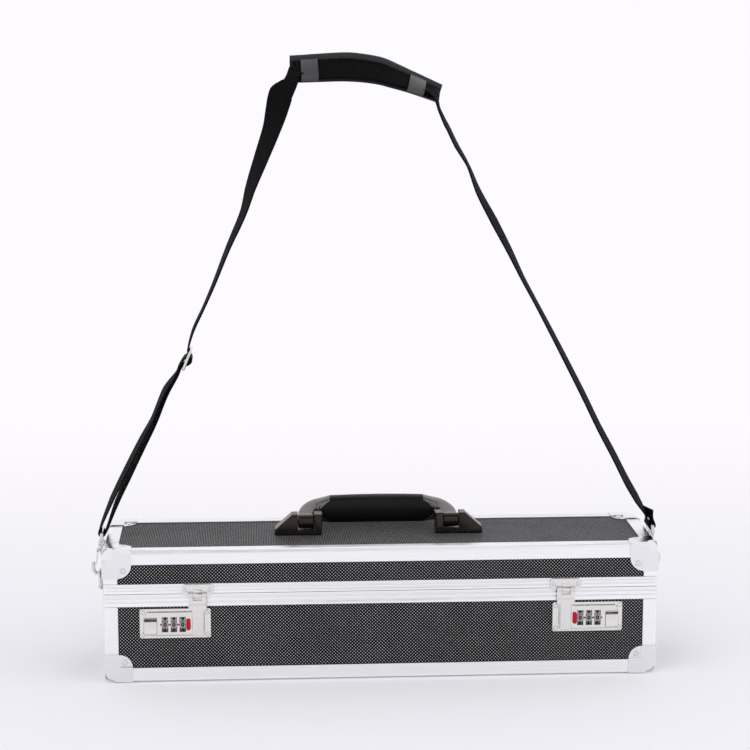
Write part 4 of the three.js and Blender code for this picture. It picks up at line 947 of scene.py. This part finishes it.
@dataclass
class CarryHandle:
    """Feet, arms and grip of the folding handle, which lies back on the lid."""

    finishes: Finishes
    pivot_z: float = 131.4
    tilt: float = 5.0
    notch_inner: float = 59.4
    notch_outer: float = 74.4
    hub_gap: float = 0.4
    hub_radius: float = 6.2
    arm_thick: float = 9.0
    arm_straight: float = 11.0
    reach: float = 35.0
    grip_half: float = 53.6
    grip_thick: float = 25.0
    grip_wide: float = 19.0
    arch: float = 2.0
    swell: float = 1.2
    arm_lap: float = 10.0
    arm_gap: float = 0.2
    arm_over: float = 1.2
    arm_foot: float = 0.16
    arm_tail: float = 0.4
    arm_narrowing: float = 2.0
    arm_power: float = 0.62
    grip_power: float = 0.8
    hub_bevel: float = 0.6
    end_drop: float = 0.74

    def laid(self, rings: np.ndarray) -> np.ndarray:
        """Points drawn upright about the pivot, laid back to the handle's rest, in metres."""
        turn = math.radians(self.tilt - 90)
        y = rings[..., 1] * math.cos(turn) - rings[..., 2] * math.sin(turn)
        z = rings[..., 1] * math.sin(turn) + rings[..., 2] * math.cos(turn)
        return np.stack([rings[..., 0], y, z + self.pivot_z + STAND], -1) * MM

    def oval(
        self, sides: int, half_a: np.ndarray, half_b: np.ndarray, power: float
    ) -> tuple[np.ndarray, np.ndarray]:
        """The rings of a superellipse whose two half widths change from ring to ring."""
        across, up = superellipse(sides, power, power)
        return half_a[:, None] * across, half_b[:, None] * up

    def build(self) -> None:
        """Makes and dresses the handle's pieces."""
        for side in ("left", "right"):
            dress(softened(f"handle_foot_{side}", 0.3), self.finishes.bronze)
        arms = [self.arm(-1.0), self.arm(1.0)]
        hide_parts("handle_frame")
        self.grip()

    def arm(self, sign: float) -> bpy.types.Object:
        """One arm: an oval that follows a quarter ellipse from the hub, swells and runs on into the grip.

        Args:
            sign: -1 for the left arm and 1 for the right one.

        Returns:
            The arm; its hub is a piece of its own.
        """
        hub_x = -(self.notch_inner + self.notch_outer) / 2
        hub_half = (self.notch_outer - self.notch_inner) / 2 - self.hub_gap
        # below 0 the straight foot, up to 1 the bend, and past 1 the tail that lies in the grip
        share = np.concatenate([[-0.15, -0.05], np.linspace(0, 1, 26), np.linspace(1.1, 1 + self.arm_tail, 4)])
        grow = np.clip(share, 0, 1)
        past = np.maximum(share - 1, 0) / self.arm_tail
        turn = grow * math.pi / 2
        run = -self.grip_half - self.arm_gap - hub_x
        x = hub_x + run * (1 - np.cos(turn)) + past * self.arm_lap
        straight = self.arm_straight * (1 + share / self.arm_foot)
        z = np.where(share < 0, straight, self.arm_straight + (self.reach - self.arm_straight) * np.sin(turn))
        reached = self.grip_thick * self.end_drop + self.arm_over
        swelled = self.arm_thick + (reached - self.arm_thick) * grow
        half_thick = (swelled + (self.grip_thick + self.arm_over / 2 - reached) * past) / 2
        half_plane = hub_half + (self.grip_wide / 2 - hub_half) * grow - past * self.arm_narrowing
        a, b = self.oval(40, half_plane, half_thick, self.arm_power)
        rings = points_of(x[:, None] + a * np.cos(turn)[:, None], b, z[:, None] - a * np.sin(turn)[:, None])
        side = "left" if sign < 0 else "right"
        limb = surface(f"handle_arm_{side}", self.laid(rings * [-sign, 1, 1]))
        outer, inner = self.hub_radius, self.hub_radius - self.hub_bevel
        flank = hub_half - self.hub_bevel
        profile = np.array([[inner, -hub_half], [outer, -flank], [outer, flank], [inner, hub_half]])
        hub = revolved(profile, np.array([hub_x * -sign, 0.0, 0.0]), np.array([1.0, 0.0, 0.0]), 40)
        barrel = surface(f"handle_hub_{side}", self.laid(hub))
        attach(barrel, "handle")
        dress(barrel, self.finishes.bronze)
        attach(limb, "handle")
        # the arms take the bronze painted lighter than the hubs, as a painted highlight
        dress(limb, self.finishes.arm)
        return limb

    def grip(self) -> None:
        """The grip: an oval that arches away from the lid and closes in a little lip at each end."""
        share = np.concatenate([[-1, -1, -0.993], np.linspace(-0.97, 0.97, 60), [0.993, 1, 1]])
        crown = 1 - share**2
        lip = np.ones_like(share)
        lip[[0, 1, 2, -3, -2, -1]] = [0.9, 0.955, 0.99, 0.99, 0.955, 0.9]
        lapped = self.arm_lap / self.grip_half
        drop = np.clip((np.abs(share) - 1 + lapped) / lapped, 0, 1)
        half_thick = (self.grip_thick + self.swell * crown) / 2 * lip * (1 - (1 - self.end_drop) * drop)
        half_wide = (self.grip_wide + self.swell * crown) / 2 * lip
        a, b = self.oval(48, half_thick, half_wide, self.grip_power)
        x, lift = share * self.grip_half, self.reach + self.arch * crown
        rings = points_of(x[:, None], a, b + lift[:, None])
        piece = surface("grip_moulding", self.laid(rings))
        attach(piece, "handle")
        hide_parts("handle_grip")
        dress(piece, self.finishes.grip)


@dataclass
class StrapEnds:
    """Anchors, rings, snap hooks, gates and eyes at both ends, and the rear hinges."""

    finishes: Finishes

    # each piece that comes on both sides: its name and the width of its rounding in millimetres
    end_pieces = (
        ("strap_anchor", 0.2), ("strap_ring", 0.1), ("snap_hook", 0.15), ("snap_gate", 0.2), ("strap_eye", 0.3),
    )

    def build(self) -> None:
        """Rounds and dresses the wire parts and the plates."""
        for side in ("left", "right"):
            for name, edge in self.end_pieces:
                dress(softened(f"{name}_{side}", edge, 50.0), self.finishes.wire)
            for leaf in ("base", "lid"):
                dress(softened(f"hinge_{leaf}_leaf_{side}", 0.2), self.finishes.lock)
        dress(softened("strap_slider", 0.3), self.finishes.wire)


# ---------------------------------------------------------------- the shoulder strap


@dataclass
class StrapLine:
    """Places along the strap, with the way across the webbing, the way it faces and its gathering."""

    middle: np.ndarray
    across: np.ndarray
    face: np.ndarray
    gather: np.ndarray


@dataclass
class ShoulderStrap:
    """The webbing and its moulded pad with two keepers.

    The rows of shares give places along the strap: the share of the way from the middle to an eye, the
    way forwards in half widths, the share of the rise over the eyes, the twist in degrees and, where it
    isn't 1, how far the webbing is gathered.
    """

    finishes: Finishes
    eye_x: float = 253.354
    eye_z: float = 125.454
    rise: float = 417.0
    web_width: float = 24.0
    web_wall: float = 1.4
    web_loft: float = 0.3
    web_across_power: float = 0.18
    web_up_power: float = 0.4
    loop_radius: float = 2.8
    leg_bulge: float = 0.3
    slider_wire: float = 1.25
    slider_pitch: float = 8.6
    slider_clear: float = 7.0
    slider_gap: float = 0.4
    running_gap: float = 0.35
    pad_back: float = 18.2
    pad_front: float = 12.4
    pad_wall: float = 5.8
    pad_gap: float = 0.85
    pad_end_share: float = 0.96
    taper_power: float = 8.0
    keeper_wall: float = 0.9
    keeper_sink: float = 1.3
    keeper_side: float = 0.4
    keeper_round: float = 0.6
    steps: int = 12

    doubled_shares = (
        (-0.9556, 0, 0.064, 6.5), (-0.9, 0, 0.131, 7.5), (-0.8425, 0, 0.1977, 6.5),
        (-0.8015, 0, 0.2419, 4.5), (-0.7533, 0, 0.3082, 6.5),
    )
    slider_shares = (-0.686, 0, 0.3816, 0)
    left_shares = (
        (-0.664, 0, 0.442, 2), (-0.6254, 0, 0.4922, 2), (-0.5875, 0.05, 0.5444, 4),
        (-0.5357, 0.1, 0.6224, 7), (-0.4795, 0.15, 0.6999, 12), (-0.4542, 0.2, 0.7515, 20),
        (-0.4158, 0.3, 0.8155, 30), (-0.3775, 0.5, 0.8795, 40), (-0.362, 0.6, 0.913, 52),
        (-0.3525, 0.7, 0.936, 60), (-0.3435, 0.75, 0.9525, 62),
        (-0.327, 0.7, 0.965, 58, 0.82), (-0.3115, 0.6, 0.977, 52, 0.66), (-0.301, 0.4, 0.991, 46, 0.6),
        (-0.288, 0.15, 1.002, 43, 0.72),
    )
    pad_shares = (
        (-0.312, 0, 1.0015, 41, 0.88), (-0.273, 0, 1.0015, 42, 0.88), (-0.213, 0, 1.003, 44, 0.88),
        (-0.1, 0, 1.0045, 47, 0.88), (0, 0, 0.9971, 43, 0.88), (0.055, 0, 0.9868, 36, 0.88),
        (0.107, 0, 0.9763, 29, 0.88), (0.163, 0, 0.964, 24, 0.88), (0.219, 0, 0.9514, 20, 0.88),
    )
    right_shares = (
        (0.181, 0.4, 0.957, 24, 0.76), (0.194, 0.95, 0.948, 24, 0.45), (0.202, 1.1, 0.936, 18, 0.38),
        (0.2095, 0.9, 0.922, 14, 0.45), (0.218, 0.55, 0.91, 12, 0.6), (0.2325, 0.2, 0.8925, 12, 0.85),
        (0.249, 0, 0.8747, 11), (0.2755, 0, 0.842, 11), (0.3172, 0, 0.7989, 8), (0.3553, 0, 0.7425, 14),
        (0.4147, 0, 0.6755, 18), (0.4685, 0, 0.614, 15), (0.5197, 0, 0.5512, 11), (0.5638, 0, 0.502, 10),
        (0.5993, 0, 0.462, 11), (0.6405, 0, 0.415, 12), (0.7457, 0, 0.2917, 14), (0.8022, 0, 0.222, 14),
        (0.861, 0, 0.1555, 15), (0.9135, 0, 0.0935, 16),
    )
    # near the right eye: how far up and how far out in millimetres, and the twist in degrees
    sewn_rows = ((27.0, -0.3, 15.0), (13.5, -0.8, 8.0), (6.0, 0.1, 7.0))
    tail_rows = ((5.0, -2.5, 5.0), (9.0, -3.4, 8.0), (13.5, -5.0, 13.0))
    # the pad's section: the way across in its reach to that side, and the way out in its wall
    section_shares = (
        (-1, -0.25), (-0.82, -0.6), (-0.45, -0.95), (0, -1), (0.45, -0.95), (0.82, -0.7), (1, -0.2),
        (1, 0.35), (0.93, 0.74), (0.8, 0.8), (0.69, 0.6), (0.64, 0.3), (0.62, 0), (-0.95, 0),
    )
    # which spans between the rows of the pad are under a keeper
    keeper_places = (1, 6)

    def place(self, row: tuple) -> np.ndarray:
        """A row of shares as x, y and z in millimetres, the twist in degrees and the gathering."""
        across, forward, up, twist, gather = (*row, 1.0) if len(row) == 4 else row
        return np.array([
            self.eye_x * across, -forward * self.web_width / 2, self.eye_z + up * self.rise, twist, gather,
        ])

    def beside(self, place: np.ndarray, way: np.ndarray, along: float, out: float) -> np.ndarray:
        """A place moved along and out from the line, for a line that runs a given way in X and Z."""
        moved = place.copy()
        moved[0] += way[0] * along - way[1] * out
        moved[2] += way[1] * along + way[0] * out
        return moved

    def way(self, start: np.ndarray, end: np.ndarray) -> np.ndarray:
        """The direction in X and Z from one place to another."""
        return unit(np.array([end[0] - start[0], end[2] - start[2]]))

    def eye_turn(self, eye: np.ndarray, up: np.ndarray) -> list[np.ndarray]:
        """Half a turn round an eye's bar, from the outer to the inner side."""
        angles = np.linspace(0, math.pi, 6)
        r = self.loop_radius
        return [self.beside(eye, up, -r * math.sin(a), r * math.cos(a)) for a in angles]

    def line(self) -> np.ndarray:
        """Every place of the webbing from its end on the slider to its end above the right eye.

        Returns:
            One row for each place: x, y and z in millimetres, the twist and the gathering.
        """
        wrap = self.slider_wire + self.slider_gap + self.web_wall / 2
        over = wrap + self.web_wall + self.running_gap
        slider = self.place(self.slider_shares)
        doubled = [self.place(row) for row in self.doubled_shares]
        left = [self.place(row) for row in self.left_shares]
        way = self.way(doubled[-1], left[0])

        def at(along: float, out: float) -> np.ndarray:
            """A place beside the slider."""
            return self.beside(slider, way, along, out)

        def bar(index: int, radius: float, angle: float) -> np.ndarray:
            """A place on a circle round one of the slider's bars."""
            turn = math.radians(angle)
            return at(index * self.slider_pitch + radius * math.cos(turn), -radius * math.sin(turn))

        places = [bar(0, wrap, angle) for angle in (180, 120, 60, 0, -50)]
        places += [at(-self.slider_pitch, over), at(-self.slider_pitch - self.slider_clear, over)]
        eye = np.array([-self.eye_x, 0.0, self.eye_z, 0.0, 1.0])
        places += self.doubled_leg([eye, *doubled, slider], over, wrap)
        cross = math.degrees(math.asin(min((wrap + over) / self.slider_pitch, 1)))
        places += [at(-self.slider_pitch - self.slider_clear, wrap)]
        places += [bar(-1, wrap, -90), bar(-1, wrap, cross - 90)]
        places += [bar(0, over, 90 + cross), bar(0, over, 90), bar(0, over, 90 - cross)]
        places += [bar(1, wrap, -90 - cross), bar(1, wrap, -90)]
        places += left + [self.place(row) for row in self.pad_shares[1:-1]]
        places += [self.place(row) for row in self.right_shares]
        eye = np.array([self.eye_x, 0.0, self.eye_z, 0.0, 1.0])
        up = self.way(eye, places[-1])
        places += [self.sewn(eye, up, row) for row in self.sewn_rows]
        places += self.eye_turn(eye, up)
        places += [self.sewn(eye, up, row) for row in self.tail_rows]
        return np.array(places)

    def doubled_leg(self, leg: list[np.ndarray], over: float, wrap: float) -> list[np.ndarray]:
        """The doubled leg's two layers: down the outer side of its line, and back up the inner side.

        Args:
            leg: the places from the eye up to the slider.
            over: how far the outer layer lies from the line at the slider, in millimetres.
            wrap: the same for the inner layer.

        Returns:
            The places down, round the eye and up again.
        """
        down: list[np.ndarray] = []
        up: list[np.ndarray] = []
        for i in range(1, len(leg) - 1):
            share = i / (len(leg) - 1)
            heading = self.way(leg[i - 1], leg[i + 1])
            bulge = self.leg_bulge * math.sin(share * math.pi)
            outer = self.loop_radius + (over - self.loop_radius) * share + bulge
            inner = -self.loop_radius + (wrap + self.loop_radius) * share - bulge
            outside = self.beside(leg[i], heading, 0, outer)
            outside[3] = -outside[3]
            down.insert(0, outside)
            up.append(self.beside(leg[i], heading, 0, inner))
        return down + self.eye_turn(leg[0], self.way(leg[0], leg[1])) + up

    def sewn(self, eye: np.ndarray, up: np.ndarray, row: tuple[float, float, float]) -> np.ndarray:
        """A place near the right eye: a row of how far up, how far out and how far twisted."""
        moved = self.beside(eye, up, row[0], row[1])
        moved[3] = row[2]
        return moved

    def frames(self, places: np.ndarray) -> StrapLine:
        """Runs a smooth line through places, with the twist and the gathering eased between them.

        Args:
            places: one row for each place, as line gives them.

        Returns:
            The places along the smooth line.
        """
        middle = spline(places[:, :3], self.steps)
        count = (len(places) - 1) * self.steps
        index = np.arange(count + 1) / self.steps
        turn = np.radians(np.interp(index, np.arange(len(places)), places[:, 3]))
        gather = np.interp(index, np.arange(len(places)), places[:, 4])
        along = directions(middle)
        out = unit(np.column_stack([-along[:, 2], np.zeros(len(along)), along[:, 0]]))
        side = np.cross(out, along)
        across = side * np.cos(turn)[:, None] + out * np.sin(turn)[:, None]
        return StrapLine(middle, across, np.cross(along, across), gather)

    def swept(
        self, name: str, run: StrapLine, widths: np.ndarray, heights: np.ndarray, mapped: bool = False
    ) -> bpy.types.Object:
        """Carries a section along the strap: each point goes some way across it and out of its face.

        Args:
            name: the piece's name.
            run: the places to sweep along.
            widths: for each place and point of the section, its way across in millimetres.
            heights: the same for its way out of the face.
            mapped: whether to add a map in millimetres, across and along.

        Returns:
            The new piece.
        """
        rings = run.middle[:, None] + run.across[:, None] * widths[..., None]
        rings = rings + run.face[:, None] * heights[..., None]
        rings[..., 2] += STAND
        uv = None
        if mapped:
            length = np.append(0, np.cumsum(np.linalg.norm(np.diff(run.middle, axis=0), axis=1)))
            uv = np.zeros((len(rings), widths.shape[1] + 1, 2))
            uv[..., 0] = np.column_stack([widths, widths[:, :1]])
            uv[..., 1] = length[:, None]
        return surface(name, rings * MM, uv)

    def build(self) -> None:
        """Makes and dresses the strap's pieces."""
        self.webbing()
        self.pad()

    def webbing(self) -> None:
        """The webbing: a superellipse, nearly a rectangle, which gets narrower where it is gathered."""
        run = self.frames(self.line())
        half, wall = self.web_width / 2, (self.web_wall + self.web_loft) / 2
        across, up = superellipse(28, self.web_across_power, self.web_up_power)
        widths = half * across[None] * run.gather[:, None]
        heights = np.broadcast_to(wall * up[None], widths.shape)
        piece = self.swept("woven_strap", run, widths, heights, mapped=True)
        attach(piece, "base")
        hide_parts("strap_webbing")
        dress(piece, self.finishes.webbing)

    def pad(self) -> None:
        """The pad: a closed curve through its section's points, swept along its own line."""
        under = self.web_wall / 2 + self.pad_gap
        run = self.frames(np.array([self.place(row) for row in self.pad_shares]))
        shares = np.array(self.section_shares, float)
        loop = np.vstack([shares[-2:], shares, shares[:2]])
        curve = spline(loop, 8)[16:-24]
        last = len(run.middle) - 1
        step = np.arange(last + 1)
        taper = 1 - (1 - self.pad_end_share) * np.abs(2 * step / last - 1) ** self.taper_power
        reach = np.where(curve[:, 0] < 0, self.pad_front, self.pad_back)
        widths = curve[None, :, 0] * reach[None] * np.where(curve[None, :, 0] < 0, 1, taper[:, None])
        heights = np.broadcast_to(curve[None, :, 1] * self.pad_wall - under, widths.shape)
        piece = self.swept("pad_moulding", run, widths, heights)
        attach(piece, "base")
        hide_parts("shoulder_pad")
        dress(piece, self.finishes.pad)
        self.keepers(run, under)

    def keepers(self, run: StrapLine, under: float) -> None:
        """The two keepers: a band with round shoulders over the webbing, open where it meets the pad.

        Args:
            run: the pad's line.
            under: how far the webbing's upper face and its gap reach from the line, in millimetres.
        """
        inner = self.web_width / 2 * self.pad_shares[0][4] + self.keeper_side
        outer = inner + self.keeper_wall
        low, roof = -under - self.keeper_sink, under + self.keeper_wall
        soft = self.keeper_wall * self.keeper_round
        ease = soft * self.keeper_round
        half = np.array([
            [outer, low], [outer, roof - 2 * soft], [outer - ease, roof - ease], [outer - 2 * soft, roof],
        ])
        hollow = np.array([[-inner, low], [-inner, under - soft], [soft - inner, under]])
        mirror = [-1, 1]
        section = np.vstack([[[-outer, low]], hollow, hollow[::-1] * mirror, half, half[:0:-1] * mirror])
        for index, start in enumerate(self.keeper_places, 1):
            part = slice(start * self.steps, (start + 1) * self.steps + 1)
            piece_run = StrapLine(run.middle[part], run.across[part], run.face[part], run.gather[part])
            widths = np.broadcast_to(section[None, :, 0], (self.steps + 1, len(section)))
            heights = np.broadcast_to(section[None, :, 1], widths.shape)
            keeper = self.swept(f"pad_keeper_{index}", piece_run, widths, heights)
            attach(keeper, "base")
            dress(keeper, self.finishes.keeper)


# ---------------------------------------------------------------- the studio


@dataclass
class Studio:
    """A pale sweep, soft lamps and the camera."""

    camera_at: tuple[float, float, float] = (-0.1168, -1.8689, 0.5912)
    forward: tuple[float, float, float] = (0.0598, 0.9837, -0.1697)
    upward: tuple[float, float, float] = (0.0100, 0.1694, 0.9855)
    lens: float = 99.9
    backdrop: Colour = (0.985, 0.965, 1.0)
    floor: Colour = (0.88, 0.873, 0.915)
    world_light: float = 0.74
    dark_depth: float = 0.8
    bend_start: float = 1.1
    bend_radius: float = 1.2
    sweep_front: float = -6.0
    sweep_height: float = 6.0
    sweep_side: float = 8.0
    glow_start: float = -0.35
    glow_full: float = 1.2

    # each dark patch in reflections: its middle, and the cosines of its rim and of its full depth
    dark_ways = (((0.05, -0.22, 0.974), 0.9135, 0.970), ((-0.06, -0.96, 0.27), 0.974, 0.9925))
    # each lamp: its name, place in metres, power in watts and width in metres
    lamp_rows = (("key", (-0.9, -1.7, 1.7), 26.0, 3.0), ("side", (1.6, -0.8, 1.0), 9.0, 2.0))

    def build(self) -> None:
        """Sets up the camera, the world, the lamps and the sweep."""
        bpy.context.scene.view_settings.view_transform = "Standard"
        self.camera()
        self.world()
        self.lamps()
        self.sweep()

    def seen(self, graph: Graph) -> bpy.types.NodeSocket:
        """1 for a ray from the camera and for one in a reflection or through glass, and otherwise 0."""
        path = graph.add("LightPath")
        seen = graph.math("MAXIMUM", path.outputs["Is Camera Ray"], path.outputs["Is Glossy Ray"])
        return graph.math("MAXIMUM", seen, path.outputs["Is Transmission Ray"])

    def camera(self) -> None:
        """Places the camera at the photograph's angle."""
        data = bpy.data.cameras.new("camera")
        data.lens = self.lens
        data.sensor_width = 36.0
        camera = linked("camera", data)
        forward, up = Vector(self.forward).normalized(), Vector(self.upward)
        right = forward.cross(up).normalized()
        up = right.cross(forward)
        turn = Matrix((right, up, -forward)).transposed()
        camera.matrix_world = Matrix.Translation(self.camera_at) @ turn.to_4x4()
        bpy.context.scene.camera = camera

    def world(self) -> None:
        """A pale world: white to the camera, softer as light, and with two dark patches in reflections."""
        world = bpy.data.worlds.new("studio")
        world.use_nodes = True
        world.node_tree.nodes.clear()
        graph = Graph(world.node_tree)
        way = graph.add("TexCoord").outputs["Generated"]
        shade = None
        for middle, rim, core in self.dark_ways:
            near = graph.add("VectorMath", {0: way, 1: middle}, operation="DOT_PRODUCT").outputs["Value"]
            patch = graph.ramp(near, rim, core, 0.0, self.dark_depth)
            shade = patch if shade is None else graph.math("MAXIMUM", shade, patch)
        light = graph.add("Background", {"Color": (1.0, 1.0, 1.0), "Strength": self.world_light})
        colour = graph.blend(shade, self.backdrop, (0.0, 0.0, 0.0))
        shown = graph.add("Background", {"Color": colour, "Strength": 1.0})
        mix = graph.add("MixShader", {0: self.seen(graph), 1: light.outputs[0], 2: shown.outputs[0]})
        graph.add("OutputWorld", {"Surface": mix.outputs[0]})
        bpy.context.scene.world = world

    def lamps(self) -> None:
        """A wide lamp above and in front, and a weaker one from the right, neither seen in reflections."""
        for name, at, power, size in self.lamp_rows:
            data = bpy.data.lights.new(name, "AREA")
            data.energy = power
            data.size = size
            lamp = linked(name, data)
            lamp.visible_glossy = False
            lamp.location = at
            towards = Vector((0, 0, 0.15)) - Vector(at)
            lamp.rotation_euler = towards.to_track_quat("-Z", "Y").to_euler()

    def sweep(self) -> None:
        """The floor, which turns up behind the case in a wide bend: a profile carried along X.

        It shows white far behind the case, and nothing of it shows from behind.
        """
        bend, radius = np.linspace(0, math.pi / 2, 16), self.bend_radius
        y = [self.sweep_front, 0.0, *(self.bend_start + radius * np.sin(bend)), self.bend_start + radius]
        z = [0.0, 0.0, *(radius - radius * np.cos(bend)), self.sweep_height]
        grid = points_of([-self.sweep_side, self.sweep_side], np.array(y)[:, None], np.array(z)[:, None])
        i = np.arange(len(y) - 1)
        faces = np.stack([2 * i, 2 * i + 1, 2 * i + 3, 2 * i + 2], -1).tolist()
        mesh = bpy.data.meshes.new("sweep")
        mesh.from_pydata(grid.reshape(-1, 3).tolist(), [], faces)
        mesh.polygons.foreach_set("use_smooth", np.ones(len(mesh.polygons), bool))
        material, graph, shader = new_material("paper")
        graph.feed(shader, {"Base Color": self.floor, "Roughness": 0.9, "Specular IOR Level": 0.1})
        parts = graph.add("SeparateXYZ", {0: graph.add("TexCoord").outputs["Object"]})
        back = graph.ramp(parts.outputs[1], self.glow_start, self.glow_full, 0.0, 1.0)
        far = graph.math("MULTIPLY", self.seen(graph), back)
        glow = graph.add("Emission", {"Color": self.backdrop, "Strength": 1.0})
        mix = graph.add("MixShader", {0: far, 1: shader.outputs[0], 2: glow.outputs[0]})
        behind = graph.add("NewGeometry").outputs["Backfacing"]
        clear = graph.add("BsdfTransparent")
        sided = graph.add("MixShader", {0: behind, 1: mix.outputs[0], 2: clear.outputs[0]})
        graph.feed(material.node_tree.nodes["Material Output"], {"Surface": sided.outputs[0]})
        mesh.materials.append(material)
        sweep = linked("sweep", mesh)
        sweep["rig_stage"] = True


def main() -> None:
    """Builds the studio and every piece of the case, and reports each piece."""
    logging.basicConfig(level=logging.INFO, format="%(message)s")
    Studio().build()
    finishes = Finishes()
    locks = [CombinationLock(finishes, side) for side in ("left", "right")]
    parts = [ShoulderStrap(finishes), CaseShell(finishes), *locks, CarryHandle(finishes), StrapEnds(finishes)]
    for part in parts:
        part.build()
        log.info("built %s", type(part).__name__)
    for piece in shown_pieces():
        log.info("%s: %d faces", piece.name, len(piece.data.polygons))


if __name__ == "__main__":
    main()
